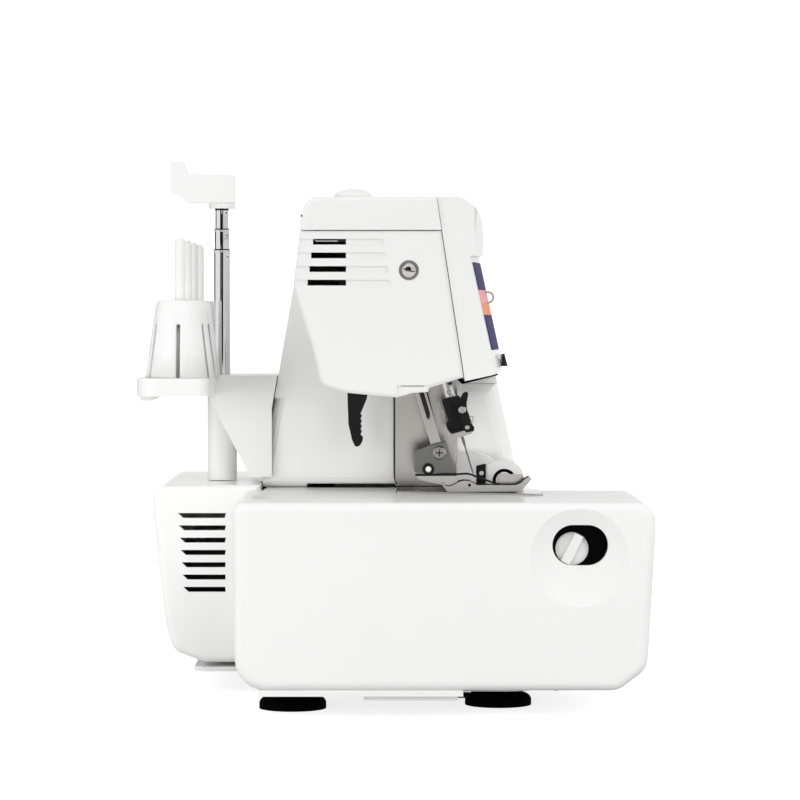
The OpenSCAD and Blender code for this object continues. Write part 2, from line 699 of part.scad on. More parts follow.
module frame_plate() {
  color([0.6, 0.6, 0.62]) difference() {
    union() {
      block([left_plate_x, -24, plate_top], [left_plate_x + plate_w, 40, 108]);
      block([column_x, -14, plate_top], [column_x + 18, 34, casting_top]);
      along_x(right_plate_x, right_plate_x + plate_w) polygon(rounded([
        [-24, plate_top, 2], [40, plate_top, 2], [60, 38, 10], [128, 38, 12], [128, 88, 12], [60, 92, 10],
            [40, 108, 6], [-24, 108, 4]]));
      block([left_plate_x, -24, plate_top], [right_plate_x + plate_w, -16, plate_top + 14]);
      block([left_plate_x, 32, plate_top], [right_plate_x + plate_w, 40, plate_top + 14]);
      // lugs for the differential lever and the switch
      block([right_plate_x, -42, plate_top], [lever_pivot_x - 5, -20, plate_top + 8]);
      block([lever_pivot_x - 5, -42, plate_top], [lever_pivot_x + 5, -35, lever_slot[1] + 6]);
    }
    for (x = [left_plate_x, column_x, right_plate_x]) rod_x(x - 1, x + 19, shaft_y, shaft_z, bush_r);
    rod_x(right_plate_x - 1, right_plate_x + 10, motor_y, motor_z, 8);
    rod_y(-60, -30, lever_pivot_x, lever_slot[1], 2.5);
    // pocket of the casting's column
    block([column_x + 4, -8, plate_top + 4], [column_x + 14, 28, shaft_z - 20]);
    block([column_x + 4, -8, shaft_z + 20], [column_x + 14, 28, casting_top - 8]);
  }
}

module shaft_bushes() {
  color([0.75, 0.6, 0.35]) for (x = [left_plate_x - 1, column_x - 1, right_plate_x - 1])
    rod_tube(x, x + (x > column_x - 2 && x < column_x ? 20 : plate_w + 2),
        shaft_y, shaft_z, bush_r, shaft_d / 2 + run_fit);
}

module rod_tube(x0, x1, y, z, r_out, r_in) {
  difference() {
    rod_x(x0, x1, y, z, r_out);
    rod_x(x0 - 1, x1 + 1, y, z, r_in);
  }
}

belt_t = 2.4;
belt_w = 8;

module main_shaft() {
  color(steel) {
    rod_x(left_plate_x - 13, x_wheel + handwheel_t - 5, shaft_y, shaft_z, shaft_d / 2);
    // drive pulley with its two flanges
    rod_x(belt_x - belt_w / 2 - 0.4, belt_x + belt_w / 2 + 0.4, shaft_y, shaft_z, big_pulley_r - 0.35, 96);
    for (s = [-1, 1]) rod_x(belt_x + s * (belt_w / 2 + 1.2) - 0.8, belt_x + s * (belt_w / 2 + 1.2) + 0.8, shaft_y,
        shaft_z, big_pulley_r + 2, 96);
    // eccentric of the loopers and the feed
    rod_x(left_plate_x - 12, left_plate_x - 4, shaft_y + 3, shaft_z, 11);
  }
}

module handwheel() {
  color(white) difference() {
    union() {
      rod_x(x_wheel, x_wheel + handwheel_t - 4, shaft_y, shaft_z, handwheel_d / 2 - 2.5, 128);
      rod_x(x_wheel + 1.5, x_wheel + handwheel_t - 6, shaft_y, shaft_z, handwheel_d / 2, 128);
      rod_x(x_wheel + handwheel_t - 6, x_wheel + handwheel_t, shaft_y, shaft_z, 17, 96);
    }
    rod_x(x_wheel - 1, x_wheel + handwheel_t - 4, shaft_y, shaft_z, shaft_d / 2 + 0.02);
    for (a = [0:15:345]) rod_x(x_wheel - 1, x_wheel + handwheel_t + 1, shaft_y + (handwheel_d / 2 + 1.2) * cos(a),
        shaft_z + (handwheel_d / 2 + 1.2) * sin(a), 2.6, 32);
    rod_x(x_wheel + handwheel_t - 8, x_wheel + handwheel_t + 1, shaft_y + 24, shaft_z, 5, 48);
  }
}

motor_x = right_plate_x - 74;

module motor() {
  color(black) {
    rod_x(motor_x, right_plate_x, motor_y, motor_z, motor_d / 2, 96);
    rod_x(motor_x - 8, motor_x + 1, motor_y, motor_z, 9);
    for (s = [-1, 1]) block([motor_x + 10, motor_y + s * 18 - 3, motor_z - motor_d / 2 - 2],
        [right_plate_x - 10, motor_y + s * 18 + 3, motor_z]);
  }
}

module motor_pulley() {
  color(steel) {
    rod_x(right_plate_x + 1, belt_x + belt_w, motor_y, motor_z, 3);
    rod_x(belt_x - belt_w / 2 - 0.4, belt_x + belt_w / 2 + 0.4, motor_y, motor_z, small_pulley_r - 0.35, 64);
    for (s = [-1, 1]) rod_x(belt_x + s * (belt_w / 2 + 1.2) - 0.8, belt_x + s * (belt_w / 2 + 1.2) + 0.8, motor_y,
        motor_z, small_pulley_r + 2, 64);
  }
}

module belt_loop(grow) {
  hull() {
    translate([shaft_y, shaft_z]) circle(r = big_pulley_r + grow, $fn = 64);
    translate([motor_y, motor_z]) circle(r = small_pulley_r + grow, $fn = 32);
  }
}

module drive_belt() {
  color(black) along_x(belt_x - belt_w / 2, belt_x + belt_w / 2) difference() {
    belt_loop(belt_t);
    belt_loop(0);
  }
}

// ---------------------------------------------------------------------------------------------
// Free arm, needle plate and knives
// ---------------------------------------------------------------------------------------------

arm_left = x_left + 23;
arm_front = -118;
arm_rear = -3;
free_top = bed_top - wall - 0.8;
seat_z = bed_top + needle_plate_up - needle_plate_t;
plate_near = [x_needle - 2, arm_rear];
plate_far = [x_needle - 28, -85];
knife_bay = [x_needle + 8.5, -44];

// Outline of the needle plate in plan, grown by d
function plate_outline(d) = [
  [plate_near[0] - d, plate_near[1] + d, 1.5], [plate_far[0] - d, plate_far[1] - d, 4],
      [knife_bay[0] + d, plate_far[1] - 1 - d, 1],
  [knife_bay[0] + d, knife_bay[1] - d, 1], [x_tower - 2 + d, knife_bay[1] - d, 1],
      [x_tower - 2 + d, plate_near[1] + d, 1]];

width_knob = [-98.5, 91.7];
width_knob_r = 9;
free_outline = [[arm_rear, plate_top, 2], [arm_rear, free_top, 4], [arm_front, free_top, 10],
    [arm_front, plate_top, 2]];

// Front faces of the bearings of the loopers' shafts, and their thickness
looper_bearing_y = [-72.5, -52];
looper_bearing_t = 3.3;

module free_arm() {
  color([0.9, 0.9, 0.9]) difference() {
    union() {
      difference() {
        along_x(arm_left, x_body) polygon(rounded(free_outline));
        along_x(arm_left + wall, x_body + 1) polygon(rounded(inset(free_outline, wall)));
      }
      along_z(free_top - wall - 1, seat_z) intersection() {
        polygon(rounded(plate_outline(-0.6)));
        translate([-far, -far]) square([far + x_body, 2 * far]);
      }
      // bearings of the loopers' shafts and of the width knob
      for (x = [lower_looper_x, upper_looper_x]) for (y = looper_bearing_y) {
        block([x - 3.6, y, plate_top], [x + 3.6, y + looper_bearing_t, looper_axis_z]);
        rod_y(y, y + looper_bearing_t, x, looper_axis_z, 6);
      }
      rod_x(arm_left + 1, arm_left + 14, width_knob[0], width_knob[1], 7);
      // guide under the feed dogs' carrier
      block([x_needle - 5, -44, plate_top], [x_needle + 5, -32, feed_foot - 0.3]);
    }
    rod_x(arm_left - 1, arm_left + 15, width_knob[0], width_knob[1], 3 + run_fit);
    for (x = [lower_looper_x, upper_looper_x]) rod_y(-80, -40, x, looper_axis_z, 3 + run_fit);
    needle_slots(0.8, free_top - 6, bed_top + 3);
    for (f = feet_at) rod_z(plate_z, plate_top + 9, f[0], f[1], foot_screw_d + 1.4);
    // opening for the upper knife, beside the needle plate
    block([knife_bay[0] - 1, knife_bay[1] - 18, free_top - wall - 2],
        [x_body - 6, knife_bay[1] - 0.5, free_top + 10]);
  }
}

// Distance of each row of teeth from the needle, and its width
dog_x = 5.8;
dog_w = 3;

// Slots for the needles and the feed dogs, grown by g
module needle_slots(g, z0, z1) {
  y = -needle_y - 2;
  block([x_needle - 3.1 - g, y - 7 - g, z0], [x_needle + 3.1 + g, y + 4 + g, z1]);
  for (s = [-1, 1])
    block([x_needle + s * dog_x - dog_w / 2 - 0.5 - g, y - 14 - g, z0],
        [x_needle + s * dog_x + dog_w / 2 + 0.5 + g, y + 16 + g, z1]);
}

module needle_plate() {
  color(steel) difference() {
    along_z(seat_z, seat_z + needle_plate_t) polygon(rounded(plate_outline(0)));
    needle_slots(0, seat_z - 1, bed_top + 3);
    for (p = plate_screws) rod_z(seat_z - 1, seat_z + 3, p[0], p[1], 2);
  }
}

plate_screws = [[x_needle + 4, -14], [x_needle + 40, -22]];

feed_foot = 60;

module feed_dogs() {
  y = -needle_y - 2;
  z = seat_z + needle_plate_t;
  color(steel) {
    for (s = [-1, 1]) {
      block([x_needle + s * dog_x - dog_w / 2, y - 11, z - 12], [x_needle + s * dog_x + dog_w / 2, y + 13, z - 1.2]);
      for (k = [0:11]) along_x(x_needle + s * dog_x - dog_w / 2, x_needle + s * dog_x + dog_w / 2)
        polygon([[y - 11 + 2 * k, z - 1.3], [y - 9 + 2 * k, z - 1.3], [y - 9 + 2 * k, z - 0.2]]);
    }
    block([x_needle - dog_x - dog_w / 2, y + 9, z - 19], [x_needle + dog_x + dog_w / 2, y + 13, z - 10]);
    block([x_needle - 3, y + 9, feed_foot], [x_needle + 3, y + 13, z - 12]);
  }
}

module steel_side_panel() {
  color(steel) along_x(x_tower - panel_t, x_tower) polygon(rounded([
    [-2.2, seat_z + needle_plate_t + 0.3, 0.5], [-2.2, 172.6, 0.5], [-20.9, 177.9, 0.5], [-38.5, 181.8, 0.5],
    [-38.5, seat_z + needle_plate_t + 0.3, 1]]));
}

guard_left = knife_bay[0] + 3.8;

// Middle and radii of the round gap in the knife guard
guard_arc = [-65, 123.7];
guard_arc_r = [4.9, 6.8];

module knife_guard() {
  color(white) difference() {
    along_x(guard_left, x_body - 0.4) polygon(rounded([
      [-75, free_top, 1], [-57, free_top, 1], [-55.2, 124, 1], [-54.9, 132.6, 0.6], [-58.9, 134.5, 3],
          [-65.8, 136.1, 4],
      [-70.5, 134.6, 5], [-75.4, 130, 5], [-76.4, 121, 3]]));
    difference() {
      rod_x(guard_left - 1, guard_left + 7, guard_arc[0], guard_arc[1], guard_arc_r[1]);
      rod_x(guard_left - 2, guard_left + 8, guard_arc[0], guard_arc[1], guard_arc_r[0]);
    }
    // slit along the top
    block([guard_left + 1.4, -66, 134.2], [guard_left + 2.2, -56, 140]);
  }
}

module lower_knife() {
  color(steel) difference() {
    block([knife_bay[0], knife_bay[1] - 17.5, 98],
        [knife_bay[0] + 1.6, knife_bay[1] - 2, seat_z + needle_plate_t - 0.3]);
    rod_x(knife_bay[0] - 1, knife_bay[0] + 3, -55, 104, 2);
  }
}

module upper_knife() {
  x = knife_bay[0] + 1.9;
  color(black) difference() {
    along_x(x, x + 3.6) polygon(rounded([
      [-54.3, 100, 0.5], [-49, 100, 0.5], [-48.7, 132.2, 0.5], [-54.3, 133.6, 0.5]]));
    rod_x(x - 1, x + 5, -51.8, 128, 1.3);
  }
}

module looper_body(x, y, tip) {
  color(steel) {
    rod_y(-78, -45, x, looper_axis_z, 3);
    along_y(y, y + 4) {
      translate([x, looper_axis_z]) circle(r = 6, $fn = 48);
      polygon(tip);
    }
  }
}

module lower_looper() {
  x = lower_looper_x;
  z = looper_axis_z;
  looper_body(x, -64, [[x - 4, z - 2], [x + 4, z], [x - 1, z + 36], [x - 14, z + 46], [x - 26, z + 43],
      [x - 15, z + 41], [x - 7, z + 34]]);
}

module upper_looper() {
  x = upper_looper_x;
  z = looper_axis_z;
  looper_body(x, looper_bearing_y[0] + looper_bearing_t + 0.3, [[x - 4, z - 2], [x + 4, z], [x + 3, z + 34],
      [x - 2, z + 48], [x - 15, z + 54], [x - 8, z + 46], [x - 4, z + 34]]);
}

module stitch_width_knob() {
  color(white) {
    rod_x(knob_face, arm_left - 0.6, width_knob[0], width_knob[1], width_knob_r, 64);
    rod_x(arm_left - 1, arm_left + 18, width_knob[0], width_knob[1], 3);
    translate([knob_face - 2.5, width_knob[0], width_knob[1]]) rotate([27, 0, 0])
      block([0, -2.6, -width_knob_r + 0.4], [3, 2.6, width_knob_r - 0.4]);
  }
}

// ---------------------------------------------------------------------------------------------
// Sewing head
// ---------------------------------------------------------------------------------------------

needle_z = bed_top + needle_up;

// Frame whose Z runs up the needle bar from the needle's point
module on_bar() {
  translate([x_needle, -needle_y, needle_z]) rotate([-bar_lean, 0, 0]) children();
}

// Frame whose Z runs up the presser bar, from the level of the ankle's screw
presser_y = -27.2;
presser_z = 139.5;
module on_presser() {
  translate([x_needle, presser_y, presser_z]) rotate([-bar_lean, 0, 0]) children();
}

bar_low = 25;
bar_high = (arm_top - 27 - needle_z) / cos(bar_lean);
// Level where the needle holder ends and the clamp over it begins
holder_top = 25.9;
shank_r = 0.8;

module needle_bar() {
  color(steel) on_bar() difference() {
    union() {
      cylinder_between(bar_low, bar_high, needle_bar_d / 2);
      // holder of the two needles
      along_x(-3.6, 5) polygon(rounded([
        [-7.2, 24.2, 0.5], [-5.4, 23, 0.5], [1.8, 22.9, 0.6], [2.6, 23.8, 0.5], [2.9, holder_top, 0.2],
            [-7.2, holder_top, 0.2]]));
    }
    translate([0, 0, bar_high - 12]) rotate([90, 0, 0]) cylinder(h = 20, r = 1.5, center = true, $fn = 24);
    for (s = [-1, 1]) translate([s * 2.2, 0, 0]) cylinder_between(22, holder_top - 0.6, shank_r + run_fit, 24);
  }
}

module cylinder_between(z0, z1, r, fn = 48) {
  translate([0, 0, z0]) cylinder(h = z1 - z0, r = r, $fn = fn);
}

// Half width of the clamp, and the left face of its raised cheek
clamp_x = 7;
cheek_x = -8.2;
// Screws of the clamp, each as its place across and along the bar and its head's radius
clamp_screw_at = [[-4.3, 37.9, 2.2], [-4.2, 27.4, 1.3]];
// Screw in the needle bar above the clamp, and its head's radius
bar_screw = [0, 49.4, 1.4];

module needle_clamp() {
  color(black) on_bar() difference() {
    union() {
      along_x(-clamp_x, clamp_x) polygon(rounded([
        [6.9, 32.7, 0.6], [4.9, 33.6, 0.6], [5.4, 45.4, 1.2], [4, 46.8, 0.6], [-2.8, 46.3, 0.6], [-4.8, 46, 0.8],
        [-6.6, 42, 1], [-7.4, 33, 1], [-7.4, holder_top + 0.1, 0.5], [5.6, holder_top + 0.3, 1], [6.8, 29, 1]]));
      // raised cheek on the left, with the lever that opens the clamp
      along_x(cheek_x, -4) polygon(rounded([
        [-2.9, 40.4, 0.4], [-5.2, 41.4, 0.4], [-5.6, 45, 1], [-7.6, 46.8, 1], [-9.6, 47.2, 0.9], [-10.3, 45.8, 0.9],
        [-9.4, 43.8, 1], [-7.8, 40.6, 2], [-7, 37.6, 1], [-7.4, 28.5, 1], [-8.1, 26.4, 0.5], [-7.4, 24.4, 0.6],
        [-2.9, 24.6, 0.5], [-2, 26.4, 1], [-2, 37, 1]]));
    }
    // dark pocket behind the cheek
    along_x(-clamp_x - 2, -clamp_x + 2.4) polygon(rounded([
      [1.3, 42.5, 0.6], [-1.5, 42.3, 0.6], [-1.9, 37, 1], [-1.4, 27.5, 1], [4.6, 27.5, 1], [6, 30.4, 1],
          [4.4, 32.4, 1],
      [2.2, 33.4, 1]]));
    cylinder_between(bar_low - 0.1, 60, needle_bar_d / 2 + run_fit);
    for (s = clamp_screw_at)
      translate([cheek_x - 1, s[0], s[1]]) rotate([0, 90, 0]) cylinder(h = 3.1, r = s[2] / 2 + run_fit, $fn = 24);
  }
}

module clamp_screws() {
  color(steel) on_bar() {
    for (s = clamp_screw_at)
      translate([cheek_x, s[0], s[1]]) rotate([0, -90, 0]) screw_head(s[2], s[2] * 0.5);
    translate([-needle_bar_d / 2 - run_fit, bar_screw[0], bar_screw[1]]) rotate([0, -90, 0])
      screw_head(bar_screw[2], 0.8, 0);
  }
}

// A crosshead screw that stands up along Z, with the top of its root
module screw_head(r, h, root = 2) {
  slot_w = r * 0.3;
  difference() {
    union() {
      cylinder(h = h * 0.6, r = r, $fn = 32);
      translate([0, 0, h * 0.6]) cylinder(h = h * 0.4, r1 = r, r2 = r * 0.8, $fn = 32);
      if (root > 0) translate([0, 0, -root]) cylinder(h = root + 0.1, r = r * 0.5, $fn = 24);
    }
    for (a = [0, 90]) rotate([0, 0, a]) translate([-r * 0.7, -slot_w / 2, h * 0.45]) cube([r * 1.4, slot_w, h]);
  }
}

module needles() {
  color(steel) on_bar() for (s = [-1, 1]) translate([s * 2.2, 0, s * 0.5 + 0.5]) {
    cylinder_between(19, holder_top - 1.7, shank_r, 24);
    translate([0, 0, 17]) cylinder(h = 2, r1 = 0.42, r2 = shank_r, $fn = 24);
    cylinder_between(3, 17, 0.42, 24);
    cylinder(h = 3, r1 = 0.1, r2 = 0.42, $fn = 24);
  }
}

frame_low = 68;
beam_w = 20;

// Casting inside the arm that guides both bars, and its beam back to the tower
module needle_bar_frame() {
  color([0.6, 0.6, 0.62]) difference() {
    union() {
      for (z = [frame_low, 112]) on_bar() translate([-10, -9, z]) cube([20, 40, 12]);
      on_bar() translate([6, -6, frame_low]) cube([6, 40, 62]);
      block([x_needle - 4, 4, casting_top], [column_x + 18, 30, casting_top + beam_w]);
      // lug and pin of the lifter
      block([lever_x - 15, lever_pivot[0] - 7, lever_pivot[1] - 6],
          [lever_x - 5, lever_pivot[0] + 7, casting_top + 1]);
      rod_x(lever_x - 6, lever_x + 5, lever_pivot[0], lever_pivot[1], 2.4);
    }
    on_bar() cylinder_between(frame_low - 5, 140, needle_bar_d / 2 + run_fit);
    on_presser() presser_slot(20, 140);
    on_bar() translate([-4.6, -8, frame_low + 12]) cube([9.2, 60, 38]);
  }
}

bar_bottom = 2;
bar_top = 112;

// Slot that guides the presser bar, and the same shape at its seat in the ankle
module presser_slot(z0, z1) {
  block([-presser_bar_t / 2 - 0.1, -presser_bar_w / 2 - 0.1, z0],
      [presser_bar_t / 2 + 0.1, presser_bar_w / 2 + 0.1, z1]);
}

module presser_bar() {
  groove = 0.8;
  color(steel) on_presser() difference() {
    block([-presser_bar_t / 2, -presser_bar_w / 2, bar_bottom], [presser_bar_t / 2, presser_bar_w / 2, bar_top]);
    // groove in the left face, pointed at its lower end
    along_x(-presser_bar_t / 2 - 1, groove - presser_bar_t / 2) polygon([
      [-1.9, 24], [-0.6, 20.5], [0.9, 22], [0.9, bar_top + 1], [-1.9, bar_top + 1]]);
  }
}

ankle_t = 12;
ankle_step = 0.5;
ankle_x = x_needle - 3;
hinge_pin = [-21, 131.3];
foot_pivot = [-44.3, 122.5];

module foot_ankle() {
  step_z = 135.6;
  color([0.45, 0.45, 0.46]) difference() {
    along_x(ankle_x - ankle_t / 2, ankle_x + ankle_t / 2) polygon(rounded([
      [-36.9, 129.1, 0.5], [-12.9, 129.1, 2], [-12.9, 141, 1], [-21.6, 144.6, 0.5], [-31, 147, 0.5]]));
    // the lower half of the left face lies back a little
    block([ankle_x - ankle_t, -40, 120], [ankle_x - ankle_t / 2 + ankle_step, -10, step_z]);
    // seat of the presser bar
    on_presser() presser_slot(bar_bottom, 40);
    rod_x(ankle_x - ankle_t / 2 - 1, x_needle - presser_bar_t / 2, presser_y, 140.6, 2);
    rod_x(ankle_x - ankle_t / 2 - 1, ankle_x + ankle_t / 2 + 1, hinge_pin[0], hinge_pin[1], 1.4 + run_fit);
  }
}

module foot_screw() {
  color(steel) translate([ankle_x - ankle_t / 2 - 0.05, presser_y, 140.6]) rotate([0, -90, 0]) screw_head(3.9, 2);
}

// Outline of the side of the presser foot, from its raised heel tip over the ear to its curled toe
sole_z = seat_z + needle_plate_t + 0.4;
sole_t = 1.6;
foot_side = [
  [-31.6, sole_z, 1.5], [-30.2, 120.6, 1], [-28.6, 123, 0.4], [-29.1, 123.8, 0.2], [-30.7, 121.9, 1.5],
      [-33.2, 121.7, 2],
  [-36.3, 123, 3], [-38.8, 124.4, 3], [-41.4, 124.9, 3], [-44.5, 124.6, 2], [-47, 123.4, 2], [-48.7, 122.4, 1],
  [-70.4, 122.4, 2], [-73.5, 123.6, 3], [-75.6, 125.6, 3], [-78.5, 127.1, 0.2], [-79.6, 126.1, 0.4],
      [-77.1, 122.8, 4],
  [-74, 120, 4], [-71.2, sole_z, 3]];
foot_x0 = ankle_x - presser_w / 2 - 1;
foot_x1 = foot_x0 + presser_w;
flange_t = 2;
pivot_r = 0.85;
// Left and right faces of the spring beside the ankle
spring_x = [ankle_x - ankle_t / 2 - 1.6, ankle_x - ankle_t / 2 - 0.4];

module foot_pin() {
  color(black) {
    difference() {
      rod_x(spring_x[0], ankle_x - ankle_t / 2 + ankle_step - 0.05, hinge_pin[0], hinge_pin[1], 3.3);
      rod_x(spring_x[0] - 1, spring_x[0] + 0.6, hinge_pin[0], hinge_pin[1], 1.9);
    }
    rod_x(spring_x[0] + 0.8, ankle_x + ankle_t / 2 - 0.4, hinge_pin[0], hinge_pin[1], 1.4);
    // spring from the hinge pin to the front of the foot
    along_x(spring_x[0], spring_x[1]) polygon(rounded([
      [-13.5, 127.6, 0.4], [-13.5, 128.7, 0.4], [-36, 129, 3], [-43, 129.4, 2], [-45.7, 128.8, 2], [-48.6, 127.6, 3],
      [-58.8, 123.9, 3], [-61.8, 123.2, 0.3], [-61.5, 122.2, 0.3], [-58.5, 122.9, 3], [-48.3, 126.5, 3],
      [-45.3, 127.8, 2], [-42.8, 128.3, 2], [-36, 127.9, 3]]));
    // pin across the foot's ears
    rod_x(foot_x0 - 0.2, foot_x1 + 0.2, foot_pivot[0], foot_pivot[1], pivot_r, 24);
  }
}

module presser_foot() {
  y = -needle_y - 2;
  color([0.8, 0.82, 0.82]) difference() {
    union() {
      for (x = [foot_x0, foot_x1 - flange_t]) along_x(x, x + flange_t) polygon(rounded(foot_side, 4));
      // sole with its curled toe
      along_x(foot_x0, foot_x1) polygon(rounded([
        [-31.6, sole_z, 1.5], [-30.6, 120.3, 0.5], [-71.4, sole_z + sole_t, 3], [-73.8, 121.4, 3], [-76, 124.2, 4],
        [-78.8, 126.9, 0.2], [-79.6, 126.1, 0.4], [-77.1, 122.8, 4], [-74, 120, 4], [-71.2, sole_z, 3]], 4));
      // guide on the right of the toe
      along_x(ankle_x + 3, foot_x1 - flange_t + 0.5) polygon(rounded([
        [-61.2, sole_z + 1, 0.2], [-61, 128.1, 0.6], [-75.2, 127.8, 0.6], [-76, 124.6, 0.2],
            [-73, sole_z + 1, 0.2]]));
      // heel, under the ankle
      along_x(ankle_x - 5, ankle_x + 5) polygon(rounded([
        [-14.1, 127.3, 0.3], [-38.3, 127.4, 0.5], [-39.3, 126.7, 0.5], [-37.6, 125.4, 1], [-37.6, sole_z + 1, 0.2],
        [-31.6, sole_z + 1, 0.2], [-28.1, 122.8, 4], [-23, 123.5, 10], [-17.9, 124.6, 4], [-15.4, 125.6, 2]]));
    }
    block([x_needle - 4.5, y - 8, sole_z - 1], [x_needle + 4.5, y + 6, 123.2]);
    for (x = [x_needle - 7, x_needle + 7]) block([x - 0.6, -70, sole_z - 1], [x + 0.6, -36, sole_z + 0.8]);
    rod_x(foot_x0 - 1, foot_x1 + 1, foot_pivot[0], foot_pivot[1], pivot_r + run_fit, 24);
  }
}

lever_x = x_needle + 26;
lever_pivot = [13, 198];

module presser_lever() {
  rib = 3;
  color(black) difference() {
    along_x(lever_x - 4, lever_x + 4) polygon(concat(
      [[9, 200], [17, 200], [20, 186], [25.6, 174], [25, 156], [23, 147], [21.4, 143.4], [20.2, 142.7], [18.4, 143.4],
       [17, 145.6], [16.5, 148]],
      [for (k = [0:4]) each [[18, 150 + k * rib], [17.2, 151.5 + k * rib]]], [[14.6, 170], [12.4, 178], [9, 190]]));
    rod_x(lever_x - 5, lever_x + 5, lever_pivot[0], lever_pivot[1], 2.4 + run_fit);
  }
}

module pressure_knob() {
  color(white) {
    rod_z(arm_top - 24, arm_top + 1, pressure_x, pressure_y, pressure_knob_r - 2, 64);
    translate([pressure_x, pressure_y, arm_top + 0.4]) rotate_extrude($fn = 64)
      polygon(concat([[0, 0], [pressure_knob_r, 0], [pressure_knob_r, 2]],
        [for (a = [10:10:80]) [pressure_knob_r * cos(a), 2 + 4.2 * sin(a)]], [[0, 6.2]]));
  }
}

lamp_low = [x_needle + 14, -12, 174.6];
lamp_high = [x_needle + 32, -3, 184];

module work_lamp() {
  color([0.95, 0.93, 0.85]) block(lamp_low, lamp_high);
}

// ---------------------------------------------------------------------------------------------
// Flat bed attachment and looper cover
// ---------------------------------------------------------------------------------------------

bed_outline = [
  [bed_rear - 1, bed_bottom, 17], [bed_rear, bed_top, 6], [-bed_front, bed_top, 10], [-bed_front, 100, 20],
  [-bed_front + 4.3, 27, 12], [-bed_front + 20, bed_bottom, 12]];
bowl = [-101.8, 87.5];
bowl_r = 26.8;
bowl_depth = 6;
// Left face of the stitch width knob, whose grip stays behind the bowl's wall
knob_face = x_left + bowl_depth + wall + 2.8;
window = [-102.6, 94];
window_size = [30.3, 22.2];

module bed_cover() {
  color(white) {
    difference() {
      soft_end(bed_outline, x_left, x_bed, 5, 6);
      difference() {
        along_x(x_left + wall, x_bed + 1) polygon(rounded(inset(bed_outline, wall)));
        // inner wall round the bowl
        rod_x(x_left, x_left + bowl_depth + wall, bowl[0], bowl[1], bowl_r - 1, 96);
      }
      // open underside
      block([arm_left - 2, -bed_front + 24, bed_bottom - 1], [x_bed + 1, bed_rear - 18, bed_bottom + wall + 1]);
      translate([x_left - bowl_sphere + bowl_depth, bowl[0], bowl[1]]) sphere(r = bowl_sphere, $fn = 128);
      along_x(x_left - 1, x_left + 30) translate(window) stadium(window_size[0], window_size[1]);
      // cut-out round the needle plate
      along_z(free_top, bed_top + 2) polygon(concat(
        [for (k = [0:2]) let (p = plate_outline(0.5)[k]) [p[0], p[1]]],
        [[x_bed + 1, plate_far[1] - 1.5], [x_bed + 1, plate_near[1] + 0.5]]));
    }
    // lip and latch under the near edge
    block([x_left + 1, -39, plate_z], [x_left + 14, 72, bed_bottom + 0.4]);
    block([x_left + 5, -36, plate_z - 2.6], [x_left + 20, 15, bed_bottom + 0.4]);
  }
}

// Radius of the sphere that cuts a bowl of the given width and depth
bowl_sphere = (bowl_r * bowl_r + bowl_depth * bowl_depth) / (2 * bowl_depth);

looper_x0 = x_body + 0.6;
looper_x1 = x_right - 0.6;
looper_wall = 2.6;
looper_hinge = [-108, 22];
hinge_x = [x_body + 24, x_right - 40];
hinge_r = 2;

// Outline of the looper cover, up to its open rear side
function looper_outline(rear) = [
  [-100, 17.5, 0.5], [-100, 26, 0.5], [rear, 34, 0.5], [rear, 108, 0.5], [-84, 110, 4], [-108, 104, 16],
  [-121, 90, 16], [-123, 60, 60], [-119, 24, 10], [-112, 17.5, 4]];

module looper_cover() {
  color(white) {
    difference() {
      along_x(looper_x0, looper_x1) polygon(rounded(looper_outline(-body_front - 0.5)));
      along_x(looper_x0 + looper_wall, looper_x1 - looper_wall)
        polygon(rounded(inset(looper_outline(-body_front + 20), looper_wall)));
      for (x = hinge_x) block([x - 1, -130, 10], [x + 6, -90, 34]);
    }
    for (x = hinge_x) {
      block([x + 6, looper_hinge[0] - 12, looper_hinge[1] - 3], [x + 9, looper_hinge[0] + 4, looper_hinge[1] + 4]);
      rod_x(x - 0.4, x + 9, looper_hinge[0], looper_hinge[1], hinge_r - run_fit);
    }
  }
}

// ---------------------------------------------------------------------------------------------
// Spool stand
// ---------------------------------------------------------------------------------------------

rod_x0 = x_tower + 27;
rod_y0 = 101.2;
post_r = 8.8;
tray_x0 = x_end + 15;
tray_x1 = rod_x0 + 97;
tray_front = 103;
tray_bottom = tray_rim - 10.2;
pin_x = [for (i = [0:pin_count - 1]) tray_x0 + 20 + i * pin_pitch];
pin_y = 119.6;
rod_foot = tray_bottom + 2;

// Front edge of the bracket's flange
bracket_edge = 70.4;

// Rear face of the tower at the height z
function tower_rear(z) = rear_low[0] + (z - rear_low[1]) * (rear_high[0] - rear_low[0]) / (rear_high[1] -
    rear_low[1]);

